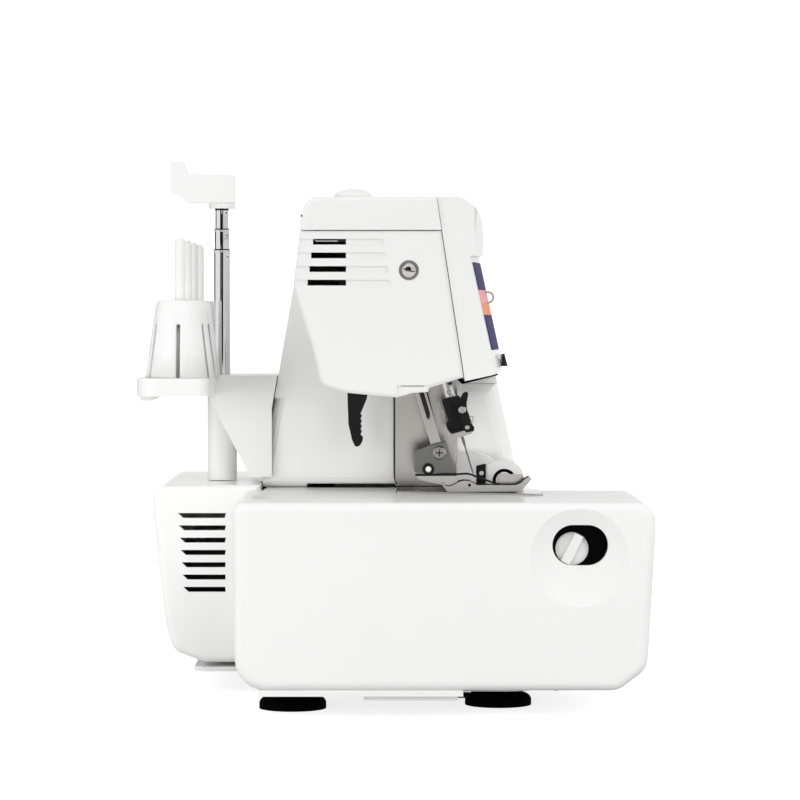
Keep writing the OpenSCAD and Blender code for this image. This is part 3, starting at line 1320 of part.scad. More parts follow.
module spool_tray() {
  color(white) difference() {
    union() {
      along_z(tray_bottom, tray_rim) polygon(rounded([
        [tray_x0, tray_front, 6], [tray_x1, tray_front, 6], [tray_x1, tray_rear, 12], [tray_x0, tray_rear, 12]]));
      // bracket to the tower, with an upright flange beside the tower's left face
      along_x(x_tower - 5, x_tower - 0.4) polygon([
        [tray_front - 6, tray_rim - 4], [bracket_edge, tray_rim - 4], [bracket_edge, 124], [83, 124]]);
      along_x(x_tower - 5, x_tower + 65) polygon([
        [tray_front + 4, tray_bottom - 3], [tray_front + 4, tray_rim], [tower_rear(tray_rim) + 0.5, tray_rim],
        [tower_rear(124) + 0.5, 124], [83, 124]]);
      rod_z(motor_top + 0.4, tray_rim, rod_x0, rod_y0, post_r, 64);
      // rib under the rear edge
      along_x(tray_x0 + 6, tray_x1 - 6) polygon([
        [tray_rear - 10, tray_bottom + 0.5], [tray_rear - 8, tray_bottom - 2.6], [tray_rear - 3, tray_bottom - 2.6],
            [tray_rear - 1.5, tray_bottom + 0.5]]);
    }
    rod_z(rod_foot, tray_rim + 5, rod_x0, rod_y0, rod_d / 2 + run_fit, 48);
    for (x = pin_x) rod_z(tray_bottom - 1, tray_rim + 1, x, pin_y, pin_root_r + run_fit);
    // hollow of the bracket
    along_x(x_tower - 2, x_tower + 62) polygon([
      [tray_front - 14, tray_bottom - 6], [tower_rear(tray_rim) + 6, tray_bottom - 6], [tower_rear(130) + 4, 134],
          [tower_rear(130) + 5, 130], [84, 130]]);
  }
}

cone_h = 42.4;
// a pin is a little thicker from the tray to the top of its cone holder
pin_root_r = pin_d / 2 + 0.4;
pin_tip = 2;

module spool_pins() {
  color([0.96, 0.96, 0.96]) for (x = pin_x) {
    rod_z(tray_bottom - 0.5, tray_rim + cone_h, x, pin_y, pin_root_r, 32);
    rod_z(tray_rim + cone_h - 1, pin_top - pin_tip, x, pin_y, pin_d / 2, 32);
    translate([x, pin_y, pin_top - pin_tip]) cylinder(h = pin_tip, r1 = pin_d / 2, r2 = pin_d / 2 - 1.2, $fn = 32);
  }
}

cone_r0 = 18;
cone_r1 = 12;

module cone_holders() {
  color(white) for (x = pin_x) translate([x, pin_y, tray_rim]) difference() {
    cylinder(h = cone_h, r1 = cone_r0, r2 = cone_r1, $fn = 64);
    translate([0, 0, -1]) cylinder(h = cone_h - 3, r1 = cone_r0 - 1.8, r2 = cone_r1 - 1.9, $fn = 64);
    cylinder(h = cone_h + 1, r = pin_root_r + 0.1, $fn = 48);
    for (a = [0:60:300]) rotate([0, 0, a]) translate([-1.3, 0, -1]) cube([2.6, cone_r0 + 5, cone_h - 12]);
  }
}

mid_d = rod_d - 2 * rod_wall - 2 * run_fit;
top_d = mid_d - 2 * rod_wall - 2 * run_fit;
outer_top = 257.5;
middle_top = 269.7;

module tube(z0, z1, d, d_in) {
  translate([rod_x0, rod_y0, z0]) difference() {
    cylinder(h = z1 - z0, d = d, $fn = 64);
    translate([0, 0, -1]) cylinder(h = z1 - z0 + 2, d = d_in, $fn = 64);
  }
}

module rod_outer() {
  color(steel) tube(rod_foot, outer_top, rod_d, rod_d - 2 * rod_wall);
}

module rod_middle() {
  color(steel) tube(rod_foot + 1, middle_top, mid_d, mid_d - 2 * rod_wall);
}

module rod_top() {
  color(steel) rod_z(rod_foot + 2, tree_bottom + 12, rod_x0, rod_y0, top_d / 2, 64);
}

tree_end = [[88.5, 0, 1], [88.5, 15.5, 1], [115, 16.6, 1], [117.5, 23, 1], [124.5, 23.5, 1.5], [124.5, 6, 1],
    [115, 0, 1]];

module thread_tree() {
  z = tree_bottom;
  color(white) difference() {
    union() {
      // bar with its hooks, over the pins
      along_x(pin_x[0] - 4, pin_x[pin_count - 1] + 4) polygon([[100, z + 7], [116, z + 7], [120, z + 12],
          [117, z + 16.5], [101, z + 16]]);
      along_x(pin_x[0] - 4, pin_x[0] + 8) translate([0, z]) polygon(rounded([for (i = [6:-1:0]) tree_end[i]]));
      rod_z(z, z + 15.5, rod_x0, rod_y0, 8);
    }
    rod_z(z - 1, z + 12 + run_fit, rod_x0, rod_y0, top_d / 2 + run_fit, 48);
    for (x = pin_x) rod_z(z - 1, z + 30, x, pin_y - 3, 1.6, 24);
  }
}

// ---------------------------------------------------------------------------------------------
// Thread guides on the front panel
// ---------------------------------------------------------------------------------------------

function panel_front(x, z) = let (u = 2 * (x - panel_x0) / (panel_x1 - panel_x0) - 1)
  panel_foot[0] - panel_bulge * (1 - pow(abs(u), 2.6)) + (z - panel_foot[1]) * tan(panel_lean);

guide_x = x_end + 40;
guide_z = 229;

module thread_guides() {
  color(steel) difference() {
    union() {
      // wire loop
      translate([guide_x, panel_front(guide_x, guide_z) - 1.6, guide_z]) rotate([0, 90, 0])
        rotate_extrude($fn = 48) translate([3, 0]) circle(r = 0.6, $fn = 16);
      translate([guide_x + 8, panel_front(guide_x + 8, 194) - 1.2, 190]) cylinder(h = 7, r1 = 2.6, r2 = 0.8,
          $fn = 32);
    }
    panel_body(-strip_t - 0.05);
  }
}

base_plate();
feet();
foot_screws();
lower_body();
rear_cover();
arm_cover();
top_cover();
side_cover();
side_cover_screw();
front_panel();
colour_strip();
right_cover();
free_arm();
frame_plate();
shaft_bushes();
motor();
drive_belt();
needle_plate();
steel_side_panel();
needle_bar_frame();
knife_guard();
lower_knife();
power_inlet();
spool_tray();
spool_pins();
cone_holders();
rod_outer();
thread_guides();
work_lamp();
main_shaft();
handwheel();
motor_pulley();
needle_bar();
needle_clamp();
clamp_screws();
needles();
presser_bar();
foot_ankle();
foot_screw();
foot_pin();
presser_foot();
presser_lever();
bed_cover();
looper_cover();
stitch_width_knob();
tension_dial_1();
tension_dial_2();
tension_dial_3();
tension_dial_4();
stitch_length_dial();
differential_lever();
power_switch();
rod_middle();
rod_top();
thread_tree();
upper_looper();
lower_looper();
feed_dogs();
upper_knife();
pressure_knob();
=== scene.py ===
# %% [markdown]
# # An overlock sewing machine
#
# The machine's solids come in already placed, so this file only dresses them: a camera, soft studio
# light, one material for each finish, and modelled pieces where a bare solid is too plain. The scene is
# in metres, and the sizes of pieces are written in millimetres. +X is the machine's right, +Y its rear
# and +Z up, and it stands on z = 0.

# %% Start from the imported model
import json
import math

import bmesh
import bpy
import numpy as np
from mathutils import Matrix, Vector


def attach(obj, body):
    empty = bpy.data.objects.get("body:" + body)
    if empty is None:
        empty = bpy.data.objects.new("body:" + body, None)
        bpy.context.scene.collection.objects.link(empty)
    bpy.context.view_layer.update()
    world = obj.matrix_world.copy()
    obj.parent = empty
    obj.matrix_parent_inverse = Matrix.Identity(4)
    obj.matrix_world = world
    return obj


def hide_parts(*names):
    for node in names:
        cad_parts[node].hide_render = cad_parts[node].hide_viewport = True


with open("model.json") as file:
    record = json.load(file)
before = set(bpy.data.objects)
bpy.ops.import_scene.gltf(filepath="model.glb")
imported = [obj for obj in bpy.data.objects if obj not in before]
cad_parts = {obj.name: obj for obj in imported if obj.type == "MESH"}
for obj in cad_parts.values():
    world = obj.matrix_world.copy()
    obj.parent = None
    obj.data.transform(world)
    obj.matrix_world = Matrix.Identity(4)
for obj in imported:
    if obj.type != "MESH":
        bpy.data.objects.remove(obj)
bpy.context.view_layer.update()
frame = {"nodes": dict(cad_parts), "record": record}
nodes = frame["nodes"]
MM = 0.001
print("solids:", len(nodes))

# %% [markdown]
# ## Camera
#
# A long lens far to the machine's left looks straight along +X. The horizon of the view is above the
# picture's middle, so the camera is tipped down a little instead of shifting its lens, which keeps the
# object centred when the camera is carried to another side.

# %% Camera
EYE = Vector((-1.865, -0.002, 0.219))
LENS_MM, SENSOR_MM = 141.5, 36
FAR_END = 30
TIP_DOWN = math.radians(1.548)
TURN_RIGHT = math.radians(0.091)

lens = bpy.data.cameras.new("camera")
lens.lens = LENS_MM
lens.sensor_width = SENSOR_MM
lens.clip_end = FAR_END
camera = bpy.data.objects.new("camera", lens)
camera.location = EYE
camera.rotation_euler = (math.pi / 2 - TIP_DOWN, 0, -math.pi / 2 - TURN_RIGHT)
bpy.context.collection.objects.link(camera)
bpy.context.scene.camera = camera
print("camera at:", [round(value, 3) for value in EYE], "lens:", LENS_MM, "mm")

# %% [markdown]
# ## Node shorthand
#
# Every finish below is a Principled shader fed by a few texture nodes. They could be laid out by hand in
# the shader editor, but written out they can be read and changed. Three small helpers keep that code
# short: one adds a node and sets its inputs, one joins two sockets, and one names a group's sockets.


# %% Node helpers
def add(tree, kind, inputs=(), **settings):
    """Add a node of this kind, set its properties, then its inputs by name or number."""
    node = tree.nodes.new(kind)
    for key, value in settings.items():
        setattr(node, key, value)
    for key, value in dict(inputs).items():
        node.inputs[key].default_value = value
    return node


def wire(tree, source, output, target, entry):
    """Join a node's output to another node's input."""
    tree.links.new(source.outputs[output], target.inputs[entry])


def group_sockets(tree, inputs, outputs):
    """Give a group its named sockets. Inputs are (name, type, default), outputs are (name, type)."""
    for name, kind, default in inputs:
        socket = tree.interface.new_socket(name, in_out="INPUT", socket_type=kind)
        socket.default_value = default
    for name, kind in outputs:
        tree.interface.new_socket(name, in_out="OUTPUT", socket_type=kind)
    return tree.nodes.new("NodeGroupInput"), tree.nodes.new("NodeGroupOutput")


print("node helpers:", add.__name__, wire.__name__, group_sockets.__name__)


# %% [markdown]
# ## Moulded grain
#
# Moulded plastic is never quite flat. A polished tool leaves a shallow waviness that bends reflections,
# and a spark-eroded one leaves a fine grain. A picture of grain would have to be laid out on every cover.
# Both are noise of different sizes, so one shared group makes them from the object's own coordinates and
# puts out a height, a roughness and a colour factor.


# %% Shader group for moulded plastic
SURFACE_OUTPUTS = [("Height", "NodeSocketFloat"), ("Roughness", "NodeSocketFloat"),
                   ("Tone", "NodeSocketFloat")]


def moulded_group():
    """Height = waviness + grain * amount. Roughness = base + patches * spread.
    Tone = 1 - patches * shade."""
    tree = bpy.data.node_groups.new("moulded", "ShaderNodeTree")
    enter, leave = group_sockets(
        tree,
        [("Wave size", "NodeSocketFloat", 40.0), ("Grain size", "NodeSocketFloat", 900.0),
         ("Grain", "NodeSocketFloat", 0.3), ("Roughness", "NodeSocketFloat", 0.2),
         ("Spread", "NodeSocketFloat", 0.05), ("Shade", "NodeSocketFloat", 0.02)],
        SURFACE_OUTPUTS)
    place = add(tree, "ShaderNodeTexCoord")
    wave = add(tree, "ShaderNodeTexNoise", {"Detail": 2.0, "Roughness": 0.4})
    grain = add(tree, "ShaderNodeTexNoise", {"Detail": 3.0, "Roughness": 0.6})
    patch = add(tree, "ShaderNodeTexNoise", {"Scale": 22.0, "Detail": 4.0, "Roughness": 0.6})
    for texture in (wave, grain, patch):
        wire(tree, place, "Object", texture, "Vector")
    wire(tree, enter, "Wave size", wave, "Scale")
    wire(tree, enter, "Grain size", grain, "Scale")
    fine = add(tree, "ShaderNodeMath", operation="MULTIPLY")
    wire(tree, grain, "Fac", fine, 0)
    wire(tree, enter, "Grain", fine, 1)
    height = add(tree, "ShaderNodeMath", operation="ADD")
    wire(tree, wave, "Fac", height, 0)
    wire(tree, fine, 0, height, 1)
    wire(tree, height, 0, leave, "Height")
    spread = add(tree, "ShaderNodeMath", operation="MULTIPLY_ADD")
    wire(tree, patch, "Fac", spread, 0)
    wire(tree, enter, "Spread", spread, 1)
    wire(tree, enter, "Roughness", spread, 2)
    wire(tree, spread, 0, leave, "Roughness")
    shade = add(tree, "ShaderNodeMath", operation="MULTIPLY")
    wire(tree, patch, "Fac", shade, 0)
    wire(tree, enter, "Shade", shade, 1)
    tone = add(tree, "ShaderNodeMath", {0: 1.0}, operation="SUBTRACT")
    wire(tree, shade, 0, tone, 1)
    wire(tree, tone, 0, leave, "Tone")
    return tree


MOULDED = moulded_group()
print("group:", MOULDED.name, len(MOULDED.nodes), "nodes")

# %% [markdown]
# ## Drawn and polished metal
#
# Polishing leaves hair-fine lines along one direction. An anisotropic shader could stretch the highlight
# without them, but it shows nothing close up. Noise that is stretched a great deal along that direction
# gives the lines themselves. They touch the roughness, a very shallow height and a little of the colour.


# %% Shader group for polished metal
def polished_group():
    """Lines = noise of coordinates stretched along one axis. Roughness = base + lines * spread."""
    tree = bpy.data.node_groups.new("polished", "ShaderNodeTree")
    enter, leave = group_sockets(
        tree,
        [("Stretch", "NodeSocketVector", (900.0, 900.0, 14.0)), ("Roughness", "NodeSocketFloat", 0.12),
         ("Spread", "NodeSocketFloat", 0.12)],
        SURFACE_OUTPUTS)
    place = add(tree, "ShaderNodeTexCoord")
    scale = add(tree, "ShaderNodeVectorMath", operation="MULTIPLY")
    wire(tree, place, "Object", scale, 0)
    wire(tree, enter, "Stretch", scale, 1)
    lines = add(tree, "ShaderNodeTexNoise", {"Scale": 1.0, "Detail": 3.0, "Roughness": 0.55})
    wire(tree, scale, 0, lines, "Vector")
    rough = add(tree, "ShaderNodeMath", operation="MULTIPLY_ADD")
    wire(tree, lines, "Fac", rough, 0)
    wire(tree, enter, "Spread", rough, 1)
    wire(tree, enter, "Roughness", rough, 2)
    wire(tree, rough, 0, leave, "Roughness")
    wire(tree, lines, "Fac", leave, "Height")
    tone = add(tree, "ShaderNodeMapRange", {"To Min": 0.9, "To Max": 1.0})
    wire(tree, lines, "Fac", tone, "Value")
    wire(tree, tone, "Result", leave, "Tone")
    return tree


POLISHED = polished_group()
print("group:", POLISHED.name, len(POLISHED.nodes), "nodes")

# %% [markdown]
# ## From a group to a finish
#
# A finish on the machine is a colour, a gloss and one of the two surfaces above. A separate node tree
# for each would repeat itself over twenty times, so two makers take the few numbers that differ. The shader
# itself stays in each material, and the group only feeds its colour, its roughness and its bump.


# %% Material makers
PLASTIC_IOR = 1.49
LACQUER_ROUGH = 0.04
GRAIN_DEEP, LINES_DEEP = 0.0006, 0.0002
GLOW_REACH, GLOW_DEEP = (1.0, 0.95, 0.9), 0.003


def new_material(name):
    """An empty node material with a Principled shader on its output."""
    material = bpy.data.materials.new(name)
    material.use_nodes = True
    tree = material.node_tree
    tree.nodes.clear()
    shader = add(tree, "ShaderNodeBsdfPrincipled")
    out = add(tree, "ShaderNodeOutputMaterial")
    wire(tree, shader, "BSDF", out, "Surface")
    return material, tree, shader


def toned_colour(tree, group, colour, shader):
    """Base colour = colour * tone of the group."""
    mix = add(tree, "ShaderNodeMix", {0: 1.0, 6: (*colour, 1)}, data_type="RGBA", blend_type="MULTIPLY")
    shade = add(tree, "ShaderNodeCombineColor")
    for channel in ("Red", "Green", "Blue"):
        wire(tree, group, "Tone", shade, channel)
    wire(tree, shade, "Color", mix, 7)
    wire(tree, mix, 2, shader, "Base Color")


def surface(tree, group, shader, bump, deep):
    """Feed the group's roughness to the shader, and its height through a bump to the normal."""
    wire(tree, group, "Roughness", shader, "Roughness")
    height = add(tree, "ShaderNodeBump", {"Strength": bump, "Distance": deep})
    wire(tree, group, "Height", height, "Height")
    wire(tree, height, "Normal", shader, "Normal")


def plastic(name, colour, rough=0.2, spread=0.06, grain=0.25, bump=0.04, glow=0.0, shine=0.5, lacquer=0.0):
    """Moulded plastic: a tinted base, a soft gloss, waviness and grain from the shared group. A lacquer
    above 0 lays a smooth clear film over the base, and a glow above 0 lets light through a little."""
    material, tree, shader = new_material(name)
    group = add(tree, "ShaderNodeGroup", node_tree=MOULDED)
    for key, value in (("Grain", grain), ("Roughness", rough), ("Spread", spread)):
        group.inputs[key].default_value = value
    toned_colour(tree, group, colour, shader)
    surface(tree, group, shader, bump, GRAIN_DEEP)
    shader.inputs["IOR"].default_value = PLASTIC_IOR
    shader.inputs["Specular IOR Level"].default_value = shine
    if lacquer:
        shader.inputs["Coat Weight"].default_value = lacquer
        shader.inputs["Coat Roughness"].default_value = LACQUER_ROUGH
    if glow:
        shader.inputs["Subsurface Weight"].default_value = glow
        shader.inputs["Subsurface Radius"].default_value = GLOW_REACH
        shader.inputs["Subsurface Scale"].default_value = GLOW_DEEP
    return material


def metal(name, colour, rough=0.12, spread=0.12, stretch=(900.0, 900.0, 14.0), bump=0.02):
    """Bare metal with polishing lines that run along the axis with the smallest stretch."""
    material, tree, shader = new_material(name)
    group = add(tree, "ShaderNodeGroup", node_tree=POLISHED)
    group.inputs["Stretch"].default_value = stretch
    group.inputs["Roughness"].default_value = rough
    group.inputs["Spread"].default_value = spread
    toned_colour(tree, group, colour, shader)
    surface(tree, group, shader, bump, LINES_DEEP)
    shader.inputs["Metallic"].default_value = 1.0
    return material


print("makers:", plastic.__name__, metal.__name__)

# %% [markdown]
# ## The finishes
#
# The covers are glossy white plastic. One white could serve them all, but the lamps reach the head more
# than the body, so the head's covers carry painted shade, a shade darker, and the body's carry painted
# light, a shade lighter. The bed is matt under a thin film: the film gives the faint mirror image, and
# the matt base keeps it from turning to glass. The small parts are black plastic, rubber, bright steel
# and a few dull metals.

# %% Finishes
WHITE = plastic("white_shell", (0.88, 0.88, 0.876), rough=0.14)
# Painted shade on the head's covers and painted light on the body's, to even out how much the lamps reach
# them.
HEAD_WHITE_SHADED = plastic("head_white_painted_shade", (0.85, 0.85, 0.846), rough=0.14)
BODY_WHITE_LIT = plastic("body_white_painted_light", (0.95, 0.95, 0.945), rough=0.16)
DECK = plastic("deck_white", (0.88, 0.88, 0.876), rough=0.5, grain=0.1, bump=0.012, shine=0.0,
               lacquer=0.4)
PALE = plastic("pale_plastic", (0.88, 0.88, 0.876), rough=0.26, grain=0.4, bump=0.03)
BLACK = plastic("black_plastic", (0.006, 0.006, 0.007), rough=0.34, grain=0.6, bump=0.08, shine=0.28)
# Near black, for painted shade in gaps, dimples, hollows and under things, and for a few dark parts.
VOID = plastic("black_and_painted_shade", (0.001, 0.001, 0.001), rough=0.7, bump=0.02, shine=0.05)
RUBBER = plastic("rubber_foot", (0.001, 0.001, 0.001), rough=0.8, spread=0.1, grain=0.8, bump=0.15,
                 shine=0.04)
GREY_PLASTIC = plastic("grey_plastic", (0.3, 0.3, 0.3), rough=0.4, shine=0.2)
# Dark matt, for painted shade in the bar's groove and in the screws' cross and slot.
RECESS_SHADE = plastic("painted_recess_shade", (0.03, 0.03, 0.03), rough=0.5, shine=0.1)
NEEDLE_STEEL = metal("needle_steel", (0.22, 0.21, 0.2), rough=0.2, spread=0.05)
STEEL = metal("polished_steel", (0.66, 0.65, 0.63), rough=0.1)
SCREW = metal("screw_steel", (0.4, 0.4, 0.4), rough=0.12, spread=0.05)
NICKEL = metal("satin_nickel", (0.3, 0.3, 0.3), rough=0.28, spread=0.1, stretch=(60.0, 900.0, 60.0))
CHROME = metal("chrome_rod", (0.8, 0.8, 0.81), rough=0.03, spread=0.03)
CAST = metal("cast_frame", (0.5, 0.5, 0.51), rough=0.4, spread=0.2, stretch=(400.0, 400.0, 400.0),
             bump=0.3)
BUSH = metal("bush_metal", (0.55, 0.4, 0.2), rough=0.3)
LENS = plastic("lamp_lens", (0.85, 0.82, 0.7), rough=0.35, glow=0.4)
DIAL_GREEN = plastic("dial_green", (0.16, 0.42, 0.1), rough=0.28)
DIAL_PINK = plastic("dial_pink", (0.7, 0.12, 0.2), rough=0.28)
DIAL_BLUE = plastic("dial_blue", (0.03, 0.12, 0.45), rough=0.28)
DIAL_YELLOW = plastic("dial_yellow", (0.8, 0.45, 0.02), rough=0.28)
print("finishes:", len(bpy.data.materials))

# %% [markdown]
# ## Printed strip
#
# The strip on the front panel is dark blue with a pink and a coral field. A picture or three loose
# pieces would do, but the fields are only bands of height. So a stepped colour ramp over the object's
# own Z paints them, and they stay at the same place from any side.


# %% Printed strip
RAMP_LOW, RAMP_HIGH = 200, 250
CORAL_FROM, PINK_FROM, PINK_TO = 219.0, 225.7, 232.9


def printed_strip():
    """Colour by height in mm: navy, then coral, then pink, then navy again, each with a sharp edge."""
    material, tree, shader = new_material("strip")
    place = add(tree, "ShaderNodeTexCoord")
    split = add(tree, "ShaderNodeSeparateXYZ")
    wire(tree, place, "Object", split, "Vector")
    height = add(tree, "ShaderNodeMapRange", {"From Min": RAMP_LOW * MM, "From Max": RAMP_HIGH * MM})
    wire(tree, split, "Z", height, "Value")
    ramp = add(tree, "ShaderNodeValToRGB")
    ramp.color_ramp.interpolation = "CONSTANT"
    navy, coral, pink = (0.012, 0.006, 0.09, 1), (0.85, 0.33, 0.2, 1), (0.86, 0.4, 0.42, 1)
    ramp.color_ramp.elements[0].color = navy
    ramp.color_ramp.elements[1].position = (CORAL_FROM - RAMP_LOW) / (RAMP_HIGH - RAMP_LOW)
    ramp.color_ramp.elements[1].color = coral
    for start, colour in ((PINK_FROM, pink), (PINK_TO, navy)):
        ramp.color_ramp.elements.new((start - RAMP_LOW) / (RAMP_HIGH - RAMP_LOW)).color = colour
    wire(tree, height, "Result", ramp, "Fac")
    wire(tree, ramp, "Color", shader, "Base Color")
    shader.inputs["Roughness"].default_value = 0.5
    shader.inputs["Specular IOR Level"].default_value = 0.08
    return material


STRIP = printed_strip()
FINISHES = {
    "white_shell": WHITE, "pale_plastic": PALE, "black_plastic": BLACK, "rubber_foot": RUBBER,
    "polished_steel": STEEL, "chrome_rod": CHROME, "cast_frame": CAST, "bush_metal": BUSH,
    "strip": STRIP, "lamp_lens": LENS, "dial_green": DIAL_GREEN, "dial_pink": DIAL_PINK,
    "dial_blue": DIAL_BLUE, "dial_yellow": DIAL_YELLOW}
print("material slots:", len(FINISHES))

# %% [markdown]
# ## Dress the solids
#
# Each solid arrives as loose triangles. A Weld joins them, a narrow Bevel gives every sharp edge the
# small radius that moulds and cutters leave, and Weighted Normal keeps the flats flat, so that gloss
# runs only round the edges. Rounding could be left to a shader's bevel, but modifiers make real faces,
# which stay when the machine is exported.

# %% Finish of each solid
WELD_WITHIN = 2e-6
SHARP_FROM = math.radians(40)
SMALL_EDGE = 0.2
EDGE = {"bed_cover": 1.2, "top_cover": 0.6, "side_cover": 0.5, "front_panel": 0.6, "arm_cover": 0.6,
        "lower_body": 0.5, "rear_cover": 0.5, "looper_cover": 0.5, "right_cover": 0.5, "spool_tray": 0.6,
        "thread_tree": 0.5}


def dress(node, material, edge_mm):
    """Weld, bevel the sharp edges by edge_mm, and even the normals out."""
    solid = nodes[node]
    solid.data.materials.clear()
    solid.data.materials.append(material)
    weld = solid.modifiers.new("weld", "WELD")
    weld.merge_threshold = WELD_WITHIN
    bevel = solid.modifiers.new("edge", "BEVEL")
    bevel.width = edge_mm * MM
    bevel.segments = 2
    bevel.limit_method = "ANGLE"
    bevel.angle_limit = SHARP_FROM
    bevel.harden_normals = False
    bevel.use_clamp_overlap = True
    even = solid.modifiers.new("even", "WEIGHTED_NORMAL")
    even.keep_sharp = True


# A few pieces have a finish of their own within their slot
OWN_FINISH = {"bed_cover": DECK, "foot_ankle": NICKEL, "needles": NEEDLE_STEEL, "foot_screw": SCREW,
              "side_cover": HEAD_WHITE_SHADED, "top_cover": HEAD_WHITE_SHADED, "front_panel": HEAD_WHITE_SHADED,
              "lower_body": BODY_WHITE_LIT, "rear_cover": BODY_WHITE_LIT, "arm_cover": BODY_WHITE_LIT}

for row in frame["record"]["subparts"]:
    finish = OWN_FINISH.get(row["node"], FINISHES[row["material_slot"]])
    dress(row["node"], finish, EDGE.get(row["node"], SMALL_EDGE))

# %% [markdown]
# ## Making pieces
#
# The small extra pieces are of three forms: a slab with one outline, a turned shape, and a bent wire.
# They could be cubes and cylinders that are scaled into place. Worked out as arrays of points in
# millimetres they keep their exact sizes, and the shared builder turns them to metres, lets each ride
# on its part of the machine, and makes the faces point outwards.


# %% Builder
MADE = []


def build(name, points, faces, material, body=None, smooth=True, outwards=True):
    """A mesh of points in mm and lists of corners, riding on a body of the machine."""
    mesh = bpy.data.meshes.new(name)
    mesh.from_pydata((np.asarray(points, float) * MM).tolist(), [], [list(map(int, face)) for face in faces])
    mesh.polygons.foreach_set("use_smooth", np.full(len(mesh.polygons), smooth))
    if outwards:
        work = bmesh.new()
        work.from_mesh(mesh)
        bmesh.ops.remove_doubles(work, verts=work.verts, dist=1e-7)
        bmesh.ops.recalc_face_normals(work, faces=work.faces)
        work.to_mesh(mesh)
        work.free()
    mesh.materials.append(material)
    mesh.update()
    piece = bpy.data.objects.new(name, mesh)
    bpy.context.collection.objects.link(piece)
    if body:
        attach(piece, body)
    MADE.append(name)
    return piece


def tell(step):
    """Print the pieces that a step made."""
    print(step + ":", ", ".join(MADE))
    MADE.clear()


def quads(rows, columns, closed_u=False, closed_v=False):
    """Corner numbers of the quads between the neighbours of a rows by columns grid."""
    index = np.arange(rows * columns).reshape(rows, columns)
    if closed_u:
        index = np.vstack([index, index[:1]])
    if closed_v:
        index = np.hstack([index, index[:, :1]])
    return np.stack([index[:-1, :-1], index[1:, :-1], index[1:, 1:], index[:-1, 1:]], -1).reshape(-1, 4)


print("a grid of 3 by 4 points has", len(quads(3, 4)), "faces")


# %% Slab, turned shape and wire
UP, LEFTWARDS = (0, 0, 1), (-1, 0, 0)
NO_WIRE_RUNS_THIS_WAY = (0.31, 0.17, 0.93)


def slab(name, outline, x0, x1, material, body, bar_at=None):
    """The (y, z) outline carried from x0 to x1 and closed with flat ends. With bar_at, the outline is
    given across and along the bar that starts there, so every point is turned by the bar's lean."""
    outline = np.asarray(outline, float)
    count = len(outline)
    points = np.vstack([np.column_stack([np.full(count, x), outline]) for x in (x0, x1)])
    if bar_at:
        points = lean(points, bar_at)
    sides = quads(2, count, closed_v=True)
    return build(name, points, [*sides.tolist(), list(range(count)), list(range(count, 2 * count))],
                 material, body, smooth=False)


def turned(name, profile, centre, axis, material, body, steps=48):
    """The profile of (radius, height) points turned round an axis through centre. A profile that starts
    and ends on radius 0 closes itself, any other is joined end to start as a ring."""
    profile = np.asarray(profile, float)
    axis = np.asarray(axis, float) / np.linalg.norm(axis)
    side = np.cross(axis, (0.0, 0.0, 1.0) if abs(axis[2]) < 0.9 else (1.0, 0.0, 0.0))
    side /= np.linalg.norm(side)
    angle = np.linspace(0, 2 * math.pi, steps, endpoint=False)
    ring = np.cos(angle)[:, None] * side + np.sin(angle)[:, None] * np.cross(axis, side)
    points = (np.asarray(centre, float) + profile[:, 0, None, None] * ring
              + profile[:, 1, None, None] * axis).reshape(-1, 3)
    solid = profile[0, 0] == 0 and profile[-1, 0] == 0
    return build(name, points, quads(len(profile), steps, closed_u=not solid, closed_v=True), material, body)


def bent_wire(name, path, radius, material, body, sides=10):
    """A round wire: a circle carried along the path, square to its direction at each point."""
    path = np.asarray(path, float)
    ahead = np.gradient(path, axis=0)
    ahead /= np.linalg.norm(ahead, axis=1)[:, None]
    across = np.cross(ahead, NO_WIRE_RUNS_THIS_WAY)
    across /= np.linalg.norm(across, axis=1)[:, None]
    upward = np.cross(ahead, across)
    angle = np.linspace(0, 2 * math.pi, sides, endpoint=False)
    points = (path[:, None] + radius * (np.cos(angle)[None, :, None] * across[:, None]
                                        + np.sin(angle)[None, :, None] * upward[:, None]))
    faces = quads(len(path), sides, closed_v=True).tolist()
    faces += [list(range(sides)), list(range((len(path) - 1) * sides, len(path) * sides))]
    return build(name, points.reshape(-1, 3), faces, material, body)


print("forms:", slab.__name__, turned.__name__, bent_wire.__name__)

# %% [markdown]
# ## Curves and the lean of the bars
#
# The needle bar and the presser bar lean to the rear by the same angle. Their small parts are drawn
# upright, across and along the bar, and turned by that lean at the end, which is easier to read than
# slanted numbers. A wire needs only a few points, because a smooth curve fills in the rest.


# %% Smooth curve, arc and lean
def smooth_path(points, steps=8):
    """A Catmull-Rom curve through the points, with this many steps between neighbours."""
    points = np.asarray(points, float)
    padded = np.vstack([2 * points[0] - points[1], points, 2 * points[-1] - points[-2]])
    t = np.linspace(0, 1, steps, endpoint=False)[None, :, None]
    a, b, c, d = (padded[k:len(padded) - 3 + k, None] for k in range(4))
    curve = 0.5 * (2 * b + (c - a) * t + (2 * a - 5 * b + 4 * c - d) * t ** 2
                   + (3 * b - a - 3 * c + d) * t ** 3)
    return np.vstack([curve.reshape(-1, points.shape[1]), points[-1:]])


BAR_LEAN = math.radians(16.6)
NEEDLE_AT = (-68.0, -46.9, 127.6)
PRESSER_AT = (-68.0, -27.2, 139.5)


def lean(points, origin):
    """Points (x from the bar, across, along) to the machine's frame: turned about X by the bar's lean."""
    x, across, along = np.asarray(points, float).T
    return np.column_stack([
        origin[0] + x, origin[1] + across * math.cos(BAR_LEAN) + along * math.sin(BAR_LEAN),
        origin[2] - across * math.sin(BAR_LEAN) + along * math.cos(BAR_LEAN)])


def arc(centre, radius, start, end, steps):
    """(y, z) points on a circle from the start to the end angle, in degrees."""
    angle = np.radians(np.linspace(start, end, steps))
    return np.column_stack([centre[0] + radius * np.cos(angle), centre[1] + radius * np.sin(angle)])


print("bars lean:", round(math.degrees(BAR_LEAN), 1), "degrees")

